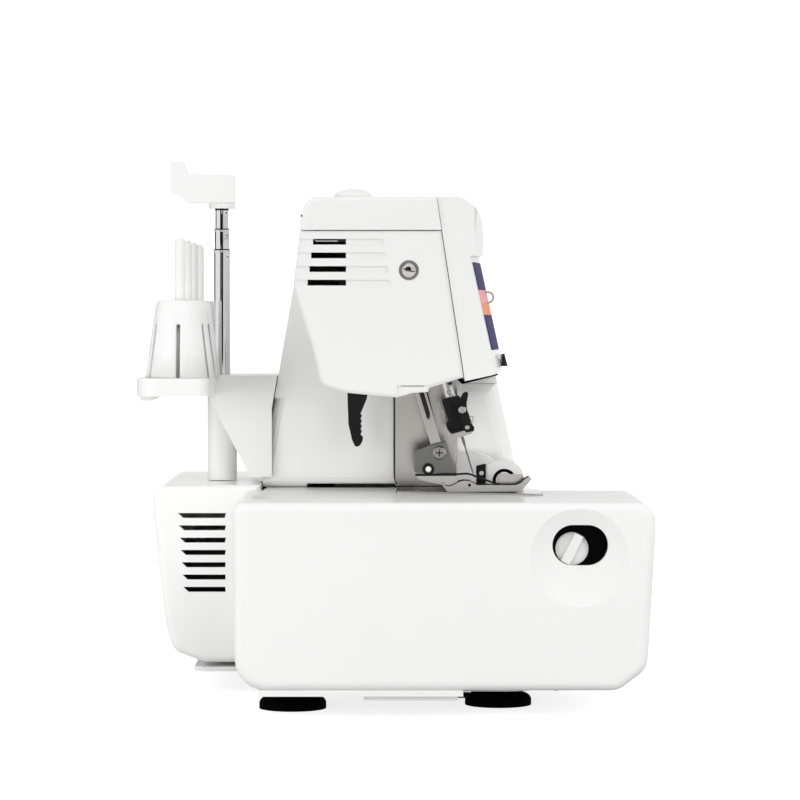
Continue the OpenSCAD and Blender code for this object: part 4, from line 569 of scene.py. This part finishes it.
# %% [markdown]
# ## Cone holders
#
# Each spool pin stands in a hollow cone that grips the inside of a thread cone. It has a plain band at
# the top, six slots that let it spring, two faint grooves in each sector, and a sleeve inside that closes
# the slots' depth. Cutting the slots out of a plain cone would leave long thin faces. So the skin is one
# grid of angle and height: the columns beside a slot keep a fixed distance from its middle, the quads
# inside a slot are left out below the band, and Solidify gives the skin its wall.

# %% Skin of a slotted cone
CONE_FOOT, CONE_TOP, SLOT_TOP = 183.5, 225.9, 213.5
CONE_R0, CONE_R1, PIN_R = 18.0, 12.0, 3.55
CONE_RIM, CONE_RIM_IN, CONE_LID = 0.6, 0.5, 4
SLOT_COUNT, SLOT_HALF, SLOT_ROWS = 6, 0.95, 3
GROOVES, GROOVE_DEEP = [5, 11], 0.05
CONE_WALL = 1.6
PIN_X = (-85.0, -27.0, 31.0, 89.0)
PIN_Y = 119.6


def slotted_cone(name, x):
    """Radius falls evenly from foot to top. Sector angle = slot edge + share * what is left of 60 degrees,
    and two narrow grooves in each sector take a little off the radius under the band."""
    heights = np.array([CONE_FOOT, SLOT_TOP - 12, SLOT_TOP - 3, SLOT_TOP, SLOT_TOP + 4, CONE_TOP - CONE_RIM,
                        CONE_TOP])
    radius = CONE_R0 + (CONE_R1 - CONE_R0) * (heights - CONE_FOOT) / (CONE_TOP - CONE_FOOT)
    radius[-1] -= CONE_RIM_IN
    share = np.array([0, 0.1, 0.2, 0.29, 0.31, 0.33, 0.35, 0.45, 0.55, 0.65, 0.67, 0.69, 0.71, 0.8, 0.9, 1.0])
    groove = np.zeros(len(share))
    groove[GROOVES] = GROOVE_DEEP
    half = np.arcsin(SLOT_HALF / radius)[:, None]
    turn = 2 * math.pi / SLOT_COUNT
    sector = np.hstack([-half, half + (turn - 2 * half) * share[None, :]])[:, :-1]
    angle = np.hstack([sector + k * turn for k in range(SLOT_COUNT)]) + math.pi
    cut = np.tile(groove, SLOT_COUNT)[None, :] * (heights < SLOT_TOP)[:, None]
    reach = radius[:, None] - cut
    lid = np.array([[PIN_R + CONE_LID], [PIN_R]])
    reach = np.vstack([reach, np.broadcast_to(lid, (2, angle.shape[1]))])
    angle = np.vstack([angle, np.broadcast_to(angle[-1], (2, angle.shape[1]))])
    level = np.concatenate([heights, [CONE_TOP, CONE_TOP]])[:, None] + 0 * angle
    points = np.stack([x + reach * np.cos(angle), PIN_Y + reach * np.sin(angle), level], -1).reshape(-1, 3)
    faces = quads(*angle.shape, closed_v=True).reshape(angle.shape[0] - 1, angle.shape[1], 4)
    keep = np.ones(faces.shape[:2], bool)
    keep[:SLOT_ROWS, ::len(share)] = False
    skin = build(name, points, faces[keep], PALE, "machine", outwards=False)
    wall = skin.modifiers.new("wall", "SOLIDIFY")
    wall.thickness = CONE_WALL * MM
    wall.offset = -1
    return skin


# %% Four cones, each with its sleeve
SLEEVE_IN, SLEEVE_WALL, SLEEVE_FOOT, SLEEVE_DROP = 2.2, 0.8, 0.1, 2.4


def cone_sleeve(name, x):
    """The inner sleeve, a plain cone that stands inside the skin, just clear of its wall."""
    tall = CONE_TOP - CONE_FOOT - SLEEVE_DROP
    outside = [(CONE_R0 - SLEEVE_IN, SLEEVE_FOOT), (CONE_R1 - SLEEVE_IN, tall)]
    inside = [(CONE_R1 - SLEEVE_IN - SLEEVE_WALL, tall), (CONE_R0 - SLEEVE_IN - SLEEVE_WALL, SLEEVE_FOOT)]
    return turned(name, outside + inside, (x, PIN_Y, CONE_FOOT), UP, PALE, "machine")


for number, x in enumerate(PIN_X):
    cone = slotted_cone(f"slotted_cone_{number + 1}", x)
    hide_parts("cone_holders")
    cone_sleeve(f"cone_sleeve_{number + 1}", x)
print("cone skin:", len(cone.data.polygons), "faces each")
tell("cones")

# %% [markdown]
# ## Telescopic rod
#
# Each tube of the rod ends in a rolled ring, with a black ring of painted shade in the gap where the
# next tube comes out, and has a small dimple under it that clicks at full height, painted black for the
# shade in its hollow. A picture on the tube could show them from one side. Turned from a profile, they
# are round from every side and move with their own tube.

# %% Rings and dimples of the rod
ROD_AT = (12.0, 101.2)


def rod_ring(label, body, top, tube_r, next_r):
    """A ring rolled over the tube's end, and a black ring of painted shade in the gap between it and the next
    tube.
    """
    inner, flat, outer = tube_r - 0.2, tube_r + 0.1, tube_r + 0.35
    turned(f"rod_ring_{label}", [(inner, -1.2), (flat, -1.2), (outer, -0.9), (outer, -0.2), (flat, 0.1),
                                 (inner, 0.1)], (*ROD_AT, top), UP, CHROME, body)
    start, end = next_r + 0.02, tube_r - 0.15
    turned(f"rod_gap_shade_{label}", [(start, 0.1), (end, 0.1), (end, 0.75), (start, 0.75)], (*ROD_AT, top), UP,
           VOID, body)


for label, body, top, tube_r, next_r in (
        ("outer", "machine", 257.5, 4.8, 4.35), ("middle", "rod_middle", 269.7, 4.35, 3.9)):
    rod_ring(label, body, top, tube_r, next_r)
# The dimples are black, painted shade in their hollows.
DIMPLE_FACES = np.array([-0.68, -0.73, 0.0])
DIMPLE = [(0, 0.04), (0.45, 0.03), (0.55, -0.2), (0, -0.2)]
for label, body, level, tube_r in (
        ("outer", "machine", 253.6, 4.8), ("middle", "rod_middle", 266.5, 4.4),
        ("top", "rod_top", 279.8, 3.95)):
    turned(f"rod_dimple_shade_{label}", DIMPLE, np.array([*ROD_AT, level]) + DIMPLE_FACES * tube_r, DIMPLE_FACES,
           VOID, body, steps=20)
turned("rod_neck", [(3.85, 0), (4.1, 0), (4.1, 0.9), (3.85, 0.9)], (*ROD_AT, 281.3), UP, VOID, "rod_top")
tell("rod")

# %% [markdown]
# ## Dark inside of the knob window
#
# Behind the bed's window lies a black sheet with a collar round the knob: painted shade that makes the
# window's inside dark. A flat black sheet would leave a gap round the knob. The sheet is one closed strip
# of rings instead: the window's outline, the round hole, the collar's far end, and the same way back.

# %% Window seal
KNOB_AT = (-98.5, 91.7)
SHEET_HOLE_R, SHEET_COLLAR_WALL = 9.35, 0.28
SHEET_FRONT, SHEET_THICK, SHEET_COLLAR_LONG = -155.95, 0.4, 13.0
WINDOW_AT, WINDOW_END_R, WINDOW_STRAIGHT = (-102.6, 94.0), 13.2, 4.2


def window_shade_sheet():
    """A plate between a stadium outline and a round hole, with a collar that goes in round the knob.
    Every ring has its points at the same angles, so neighbouring rings join point to point."""
    angle = np.linspace(0, 2 * math.pi, 96, endpoint=False)
    ring = np.column_stack([np.cos(angle), np.sin(angle)])
    stadium = np.array(WINDOW_AT) + WINDOW_END_R * ring
    stadium[:, 0] += WINDOW_STRAIGHT * np.sign(np.round(ring[:, 0], 6))
    hole = np.array(KNOB_AT) + SHEET_HOLE_R * ring
    collar = np.array(KNOB_AT) + (SHEET_HOLE_R + SHEET_COLLAR_WALL) * ring
    back, end = SHEET_FRONT + SHEET_THICK, SHEET_FRONT + SHEET_COLLAR_LONG
    rings = ((stadium, SHEET_FRONT), (hole, SHEET_FRONT), (hole, end), (collar, end), (collar, back),
             (stadium, back))
    points = np.vstack([np.column_stack([np.full(len(outline), x), outline]) for outline, x in rings])
    build("window_shade_sheet", points, quads(len(rings), len(angle), closed_u=True, closed_v=True), VOID,
          "bed_cover")


# The black sheet is painted shade inside the window.
window_shade_sheet()
tell("knob window")

# %% [markdown]
# ## Presser bar and needle clamp
#
# The bar's groove is dark with painted shade, and the guide's wedge along its front edge is black. Thin
# wires on the clamp guide the threads, the foot's screw has a dark cross of painted shade in its head,
# and its hinge pin ends in a pale stud. The groove and the cross could be cut into the metal. They are so
# shallow that a dark face a few hundredths of a millimetre proud of it paints the same shade.

# %% Groove and wedge of the presser bar
BAR_FACE = -1.18
# The groove's dark face is painted shade.
slab("bar_groove", [(-1.85, 24), (-0.6, 21), (0.85, 22.2), (0.85, 60), (-1.85, 60)], BAR_FACE - 0.06,
     BAR_FACE, RECESS_SHADE, "presser_bar", PRESSER_AT)
slab("bar_wedge", [(-3.08, 17), (-3.08, 52), (-4.5, 52)], -1.9, -1.2, VOID, "presser_bar", PRESSER_AT)
tell("presser bar")

# %% Thread wires of the clamp
THREAD_WIRE_R = 0.3
CLAMP_WIRES = {
    "rear": [(-5.0, 6.9, 45.9), (-6.2, 6.9, 42), (-6.4, 6.3, 38), (-6.2, 6.9, 36.4), (-6.2, 6.3, 34.6),
             (-5.2, 5.4, 33.6)],
    "front": [(-8.0, -6.8, 32.2), (-8.3, -8.6, 32.6), (-8.3, -9.1, 31.4), (-8.2, -8.0, 30.6),
              (-8.2, -8.2, 29.6), (-8.0, -6.6, 29.3)]}
for side, points in CLAMP_WIRES.items():
    bent_wire(f"clamp_wire_{side}", lean(smooth_path(points), NEEDLE_AT), THREAD_WIRE_R, STEEL, "needle_bar")
tell("needle clamp")

# %% Cross of the foot's screw and stud of its pin
CROSS_LONG, CROSS_WIDE, CROSS_DEEP = 0.5, 0.08, 0.02


def screw_cross(name, centre, radius, face_x, body):
    """Two crossed dark bars, painted shade over the recess of a screw head that faces left. One goes deeper
    than the other.
    """
    reach, half = radius * CROSS_LONG, radius * CROSS_WIDE
    y, z = centre
    for label, dy, dz, deep in (("a", reach, half, CROSS_DEEP), ("b", half, reach, 2 * CROSS_DEEP)):
        outline = [(y - dy, z - dz), (y + dy, z - dz), (y + dy, z + dz), (y - dy, z + dz)]
        slab(f"{name}_{label}", outline, face_x, face_x + deep, RECESS_SHADE, body)


screw_cross("foot_screw_cross", (-27.2, 140.6), 3.9, -77.98, "presser_bar")
turned("hinge_stud", [(0, 0.75), (1.0, 0.7), (1.6, 0.45), (1.75, 0.1), (1.75, 0), (0, 0)],
       (-78.1, -21.0, 131.3), LEFTWARDS, PALE, "presser_foot", steps=32)
tell("presser foot")

# %% [markdown]
# ## Cover screw of the head
#
# The screw sits at the bottom of a counterbore. Its head is a low bright dome with a grey washer round
# it and a thin slot. A straight cut would do for a flat head, but a dome bends what it mirrors, so the
# slot's middle line is a shallow wave. The slot is a dark ribbon laid on the dome, painted shade for its cut.

# %% Domed slotted head
HEAD_SCREW = (-9.7, 243.8)
HEAD_SCREW_X = -119.9
turned("head_screw_dome", [(0, 0.95), (1.2, 0.9), (2.2, 0.68), (2.9, 0.32), (3.1, 0.08), (3.9, 0.05),
                           (4.1, -0.1), (0, -0.1)], (HEAD_SCREW_X, *HEAD_SCREW), LEFTWARDS, STEEL, "machine")
turned("head_screw_ring", [(4.25, -0.05), (5.5, -0.05), (5.5, -0.3), (4.25, -0.3)],
       (HEAD_SCREW_X + 1, *HEAD_SCREW), LEFTWARDS, GREY_PLASTIC, "machine")
HEAD_SLOT_REACH, HEAD_SLOT_HALF, HEAD_SLOT_WAVE = 3.4, 0.26, 0.35
HEAD_SLOT_TURN = math.radians(12)
along = np.linspace(-HEAD_SLOT_REACH, HEAD_SLOT_REACH, 13)
wave = HEAD_SLOT_WAVE * np.sin(along * math.pi / HEAD_SLOT_REACH)
ribbon = np.vstack([np.column_stack([along, wave + HEAD_SLOT_HALF]),
                    np.column_stack([along, wave - HEAD_SLOT_HALF])[::-1]])
cosine, sine = math.cos(HEAD_SLOT_TURN), math.sin(HEAD_SLOT_TURN)
# The slot's dark ribbon is painted shade.
slab("head_screw_slot", ribbon @ np.array([[cosine, sine], [-sine, cosine]]) + HEAD_SCREW,
     HEAD_SCREW_X - 0.98, HEAD_SCREW_X - 0.6, RECESS_SHADE, "machine")
tell("head screw")

# %% [markdown]
# ## Painted shadow gaps, screws and catches
#
# Where two covers meet there is a dark joint, and small dark screws and catches sit in the shade. They
# could be left to the shadows between the solids, but those fade under soft light. So each joint gets a
# thin dark slab or wire of its own, a painted shadow, and each screw a small turned piece. A black strip
# under the bed is painted shade as well.

# %% Joints and painted shadows
# A black slab under the front panel's bottom edge is painted shadow in its gap.
slab("panel_gap_shadow", [(-38.2, 181.5), (-39.4, 180.6), (-59.0, 185.5), (-59.2, 186.2)], -118, -16.5, VOID,
     "machine")
# A thin line in the brown of the bush metal is painted shadow under the notch's top edge.
slab("notch_gap", [(-18.0, 179.3), (-5.4, 179.3), (-5.4, 179.75), (-18.0, 179.75)], -118.9, -118.7, BUSH,
     "machine")
SEAM_WIRE_R = 0.42
seam = smooth_path([(-15.6, -1.5, 172), (-15.6, -1.5, 150), (-15.6, -1.5, 128), (-15.7, -1.9, 122.4),
                    (-16.4, -3.2, 119.4)])
bent_wire("panel_seam", seam, SEAM_WIRE_R, BLACK, "machine")
# A black strip under the bed is painted shade.
slab("under_bed_shade", [(-42.6, 9.6), (-36.4, 9.6), (-36.4, 12.4), (-42.6, 12.4)], -150, -146, VOID, "bed_cover")
turned("under_screw", [(0, -1.5), (1.1, -1.3), (1.7, -0.7), (1.7, 0), (0, 0)], (-150, -90.2, 15.05), UP, VOID,
       "bed_cover", steps=24)
turned("cover_catch", [(0, 0.9), (0.7, 0.7), (0.9, 0), (0, 0)], (-100, 50.1, 274.6), (0, 1, 0.1), BLACK,
       "machine", steps=20)
tell("joints and seals")

# %% [markdown]
# ## Marks in the bowl
#
# An arrow and two dashes stand up a little from the round bowl in the bed's end, to show which way the
# knob turns. Printed marks would be seen as colour. Moulded ones are only seen by their edges, so each is
# a thin white slab, set at the depth that the bowl has there.

# %% Raised arrow and dashes
BED_LEFT = -165.0
BOWL_AT, BOWL_R, BOWL_DEEP = (-101.8, 87.5), 26.8, 6.0
BOWL_SPHERE = (BOWL_R ** 2 + BOWL_DEEP ** 2) / (2 * BOWL_DEEP)
MARK_STANDS, MARK_SINKS = 0.35, 0.4
BOWL_MARKS = {
    "arrow": [(-101.5, 82.4), (-105.9, 81.2), (-103.0, 78.8), (-103.0, 79.3), (-105.0, 81.1), (-101.5, 82.0)],
    "dash_1": [(-98.2, 79.2), (-99.9, 79.2), (-99.9, 78.8), (-98.2, 78.8)],
    "dash_2": [(-98.2, 77.4), (-100.6, 77.4), (-100.6, 77.0), (-98.2, 77.0)]}


def bowl_x(y, z):
    """Depth of the bowl's surface: its deepest point less what a sphere has risen at this distance."""
    away = (y - BOWL_AT[0]) ** 2 + (z - BOWL_AT[1]) ** 2
    return BED_LEFT + BOWL_DEEP - (BOWL_SPHERE - math.sqrt(BOWL_SPHERE ** 2 - away))


for label, outline in BOWL_MARKS.items():
    surface_x = bowl_x(*np.mean(outline, axis=0))
    slab(f"bowl_{label}", outline, surface_x - MARK_STANDS, surface_x + MARK_SINKS, WHITE, "bed_cover")
tell("bowl")

# %% [markdown]
# ## Dark ring of the knife guard
#
# The guard has a round groove that lies in shade. Soft light would fill it and hide it, so a thin dark
# ring stands for its shade. Its outline runs along one arc and back along a smaller one.

# %% Ring of the guard
RING_AT, RING_OUT_R, RING_IN_R = (-65.0, 123.7), 6.75, 4.95
RING_FROM, RING_TO, RING_STEPS = -40, 205, 40
ring_outline = np.vstack([arc(RING_AT, RING_OUT_R, RING_FROM, RING_TO, RING_STEPS),
                          arc(RING_AT, RING_IN_R, RING_TO, RING_FROM, RING_STEPS)])
slab("guard_ring", ring_outline, -55.5, -55.3, VOID, "machine")
tell("knife guard")

# %% [markdown]
# ## Cone guide on the front panel
#
# The thread passes a small dark cone below the strip. All the guides share one steel finish, and a dark
# one would be wrong for the others. So a thin black skin, turned from a cone's profile, goes over it.

# %% Cone guide skin
turned("cone_guide_skin", [(0, 0), (2.72, 0), (0.92, 7.1), (0, 7.15)], (-72.0, -63.55, 189.9), UP, BLACK,
       "machine", steps=32)
tell("cone guide")

# %% [markdown]
# ## Sewing width ticks
#
# Four violet ticks are printed on the bed near its front left corner. A picture would do for curved
# print, but the bed is flat there and print has no thickness, so each tick is one face just above it.

# %% Ticks on the bed
TICK = plastic("tick_violet", (0.25, 0.22, 0.62), rough=0.5, shine=0.1)
TICK_X, TICK_Z, TICK_HALF = -156, 117.33, 0.2
TICK_SHORT, TICK_LONG = 1.4, 2.4
TICKS_Y = (-99.0, -101.2, -103.4, -105.6)
for number, y in enumerate(TICKS_Y):
    end = TICK_X + (TICK_LONG if number % 2 else TICK_SHORT)
    build(f"width_tick_{number}", [(TICK_X, y - TICK_HALF, TICK_Z), (end, y - TICK_HALF, TICK_Z),
                                   (end, y + TICK_HALF, TICK_Z), (TICK_X, y + TICK_HALF, TICK_Z)],
          [(0, 1, 2, 3)], TICK, "bed_cover", smooth=False, outwards=False)
tell("ticks")

# %% [markdown]
# ## Studio
#
# The machine stands on a sweep, paper that lies flat and curves up behind, so that no horizon shows. In
# white it would throw much light back at the machine's shaded sides. So the paper is a mid grey that
# keeps the soft shadow, and a glow is added to it for the rays that look at it straight or in a
# reflection. The background reads as clean white while the lamps stay at a plain level.

# %% Paper of the sweep
PAPER_GREY, PAPER_ROUGH = 0.5, 0.9
GLOW_SEEN, GLOW_MIRRORED = 0.8, 0.45


def sweep_material():
    """Grey paper with a glow = seen * GLOW_SEEN + mirrored * GLOW_MIRRORED, where seen is 1 on camera rays
    and mirrored is 1 on glossy and transmission rays."""
    material, tree, shader = new_material("sweep_paper")
    shader.inputs["Base Color"].default_value = (PAPER_GREY, PAPER_GREY, PAPER_GREY, 1)
    shader.inputs["Roughness"].default_value = PAPER_ROUGH
    shader.inputs["Specular IOR Level"].default_value = 0.0
    path = add(tree, "ShaderNodeLightPath")
    mirrored = add(tree, "ShaderNodeMath", operation="MAXIMUM")
    wire(tree, path, "Is Glossy Ray", mirrored, 0)
    wire(tree, path, "Is Transmission Ray", mirrored, 1)
    seen = add(tree, "ShaderNodeMath", {1: GLOW_SEEN}, operation="MULTIPLY")
    wire(tree, path, "Is Camera Ray", seen, 0)
    glow = add(tree, "ShaderNodeMath", {1: GLOW_MIRRORED}, operation="MULTIPLY_ADD")
    wire(tree, mirrored, 0, glow, 0)
    wire(tree, seen, 0, glow, 2)
    shader.inputs["Emission Color"].default_value = (1, 1, 1, 1)
    wire(tree, glow, 0, shader, "Emission Strength")
    return material


PAPER = sweep_material()
print("paper:", PAPER.name)

# %% Shape of the sweep
SWEEP_R, SWEEP_BACK = 0.6, 1.6
SWEEP_REACH, SWEEP_TALL = 6.0, 5.0
bend = np.linspace(0, math.pi / 2, 24)
curve = np.column_stack([SWEEP_BACK + SWEEP_R * np.sin(bend), SWEEP_R * (1 - np.cos(bend))])
profile = np.vstack([[-SWEEP_REACH, 0.0], curve, [SWEEP_BACK + SWEEP_R, SWEEP_TALL]])
across = np.linspace(-SWEEP_REACH, SWEEP_REACH, 3)
sweep_points = np.stack([np.column_stack([profile[:, 0], np.full(len(profile), y), profile[:, 1]])
                         for y in across])
floor = build("sweep", sweep_points.reshape(-1, 3) / MM, quads(*sweep_points.shape[:2]), PAPER,
              outwards=False)
tell("studio")

# %% [markdown]
# ## Lamps
#
# One huge soft lamp would light white covers so evenly that their faces run together. Here a high lamp at
# the left front gives the faces their difference, and two low ones reach under the arm. Two small ones
# near the machine lift the lower body, one hangs above, and two at the right light the far side. None of
# them can be seen, straight or in a reflection.


# %% Area lamps
def lamp(name, place, target, size, power):
    """A rectangular area lamp at place that points at target."""
    data = bpy.data.lights.new(name, "AREA")
    data.shape = "RECTANGLE"
    data.size, data.size_y = size
    data.energy = power
    piece = bpy.data.objects.new(name, data)
    piece.location = place
    piece.rotation_euler = (Vector(target) - Vector(place)).to_track_quat("-Z", "Y").to_euler()
    piece.visible_glossy = False
    piece.visible_camera = False
    bpy.context.collection.objects.link(piece)


MIDDLE = (0, 0, 0.15)
# name, place in metres, width and height in metres, power in watts
LAMPS = (
    ("key_front", (-1.9, -0.9, 1.4), (1.2, 1.2), 11),
    ("low_rear", (-2.3, 1.3, 0.35), (1.2, 0.6), 10.5),
    ("low_front", (-2.3, -0.9, 0.3), (1.0, 0.5), 3.5),
    ("near_rear", (-0.42, 0.6, 0.1), (0.3, 0.2), 0.9),
    ("near_front", (-0.45, -0.65, 0.16), (0.3, 0.2), 0.5),
    ("top", (0.2, 0.0, 1.9), (1.6, 1.6), 4),
    ("back_right", (1.8, 1.3, 1.2), (1.2, 1.2), 12),
    ("front_right", (1.6, -1.7, 1.0), (1.2, 1.2), 12))
for name, place, size, power in LAMPS:
    lamp(name, place, MIDDLE, size, power)
print("lamps:", len(LAMPS), "with", sum(row[-1] for row in LAMPS), "W in all")

# %% [markdown]
# ## Cards for the metal
#
# Polished metal shows only what stands round it, and in an all-white room it turns white. Dark paint on
# the metal would look dull, so three cards are put up for reflections alone, as a studio does with grey
# board. Two stand in one plane at the left: a light one below, which the flat steel panel mirrors,
# and above it one with a broad dark band, which makes the line on the chrome rod. A dark one stands at
# the rear right. The camera and the soft light don't see them.


# %% Reflection card
def card(name, corners, bands):
    """A flat card. Its glow is a ramp of colours over the card's own width."""
    material, tree, shader = new_material(name)
    shader.inputs["Base Color"].default_value = (0, 0, 0, 1)
    shader.inputs["Specular IOR Level"].default_value = 0.0
    shader.inputs["Emission Strength"].default_value = 1.0
    place = add(tree, "ShaderNodeUVMap")
    split = add(tree, "ShaderNodeSeparateXYZ")
    wire(tree, place, "UV", split, "Vector")
    ramp = add(tree, "ShaderNodeValToRGB")
    ramp.color_ramp.elements[0].position, first = bands[0]
    ramp.color_ramp.elements[0].color = (*first, 1)
    ramp.color_ramp.elements[1].position, last = bands[-1]
    ramp.color_ramp.elements[1].color = (*last, 1)
    for position, colour in bands[1:-1]:
        ramp.color_ramp.elements.new(position).color = (*colour, 1)
    wire(tree, split, "X", ramp, "Fac")
    wire(tree, ramp, "Color", shader, "Emission Color")
    piece = build(name, np.asarray(corners, float) / MM, [(0, 1, 2, 3)], material, smooth=False,
                  outwards=False)
    layer = piece.data.uv_layers.new(name="UVMap")
    layer.data.foreach_set("uv", np.array([0, 0, 1, 0, 1, 1, 0, 1], float))
    for ray in ("visible_camera", "visible_diffuse", "visible_transmission", "visible_volume_scatter",
                "visible_shadow"):
        setattr(piece, ray, False)


def upright(start, end, low, high):
    """Corners of a card that stands over the floor line from start to end, from low to high."""
    return [(*start, low), (*end, low), (*end, high), (*start, high)]


print("card corners:", len(upright((0, 0), (1, 0), 0, 1)))

# %% Three cards
BRIGHT, PLAIN, WARM, GREY = (1, 1, 1), (0.8, 0.8, 0.8), (0.85, 0.82, 0.78), (0.7, 0.69, 0.67)
DIM, DIMMER, DARK = (0.1, 0.1, 0.1), (0.04, 0.04, 0.04), (0.01, 0.01, 0.011)
CARD_LOW, CARD_STEP, CARD_HIGH = 0.02, 0.165, 1.1
LEFT_START, LEFT_END = (-1.3, -1.6), (-1.3, 1.6)
REAR_START, REAR_END, REAR_HIGH = (0.6, 2.0), (1.9, 1.1), 1.2
card("card_low", upright(LEFT_START, LEFT_END, CARD_LOW, CARD_STEP),
     [(0.0, PLAIN), (0.25, GREY), (0.45, WARM), (0.52, GREY), (1.0, PLAIN)])
card("card_high", upright(LEFT_START, LEFT_END, CARD_STEP, CARD_HIGH),
     [(0.0, PLAIN), (0.37, GREY), (0.4, DARK), (0.76, DARK), (0.78, BRIGHT)])
card("card_rear", upright(REAR_START, REAR_END, CARD_LOW, REAR_HIGH), [(0.0, DIM), (0.3, DIMMER), (1.0, DIM)])
tell("cards")

# %% [markdown]
# ## Soft light
#
# A studio's white walls fill every shadow a little. They could be built, but the world can stand for
# them. It is one white at three strengths, chosen by the kind of ray: a soft one that lights the machine,
# a brighter one in its reflections, and full white behind it.

# %% World
FILL, MIRRORED, BEHIND = 0.68, 0.95, 1.0
world = bpy.data.worlds.new("studio")
bpy.context.scene.world = world
world.use_nodes = True
sky = world.node_tree
sky.nodes.clear()
fill, mirrored, behind = (add(sky, "ShaderNodeBackground", {"Color": (1, 1, 1, 1), "Strength": strength})
                          for strength in (FILL, MIRRORED, BEHIND))
path = add(sky, "ShaderNodeLightPath")
choose_mirrored = add(sky, "ShaderNodeMixShader")
choose_behind = add(sky, "ShaderNodeMixShader")
out = add(sky, "ShaderNodeOutputWorld")
wire(sky, path, "Is Glossy Ray", choose_mirrored, 0)
wire(sky, fill, 0, choose_mirrored, 1)
wire(sky, mirrored, 0, choose_mirrored, 2)
wire(sky, path, "Is Camera Ray", choose_behind, 0)
wire(sky, choose_mirrored, 0, choose_behind, 1)
wire(sky, behind, 0, choose_behind, 2)
wire(sky, choose_behind, 0, out, "Surface")
print("world:", world.name, len(sky.nodes), "nodes")

# %% [markdown]
# ## Picture
#
# The Standard view shows a colour as it is written.

# %% Finish
bpy.context.scene.view_settings.view_transform = "Standard"
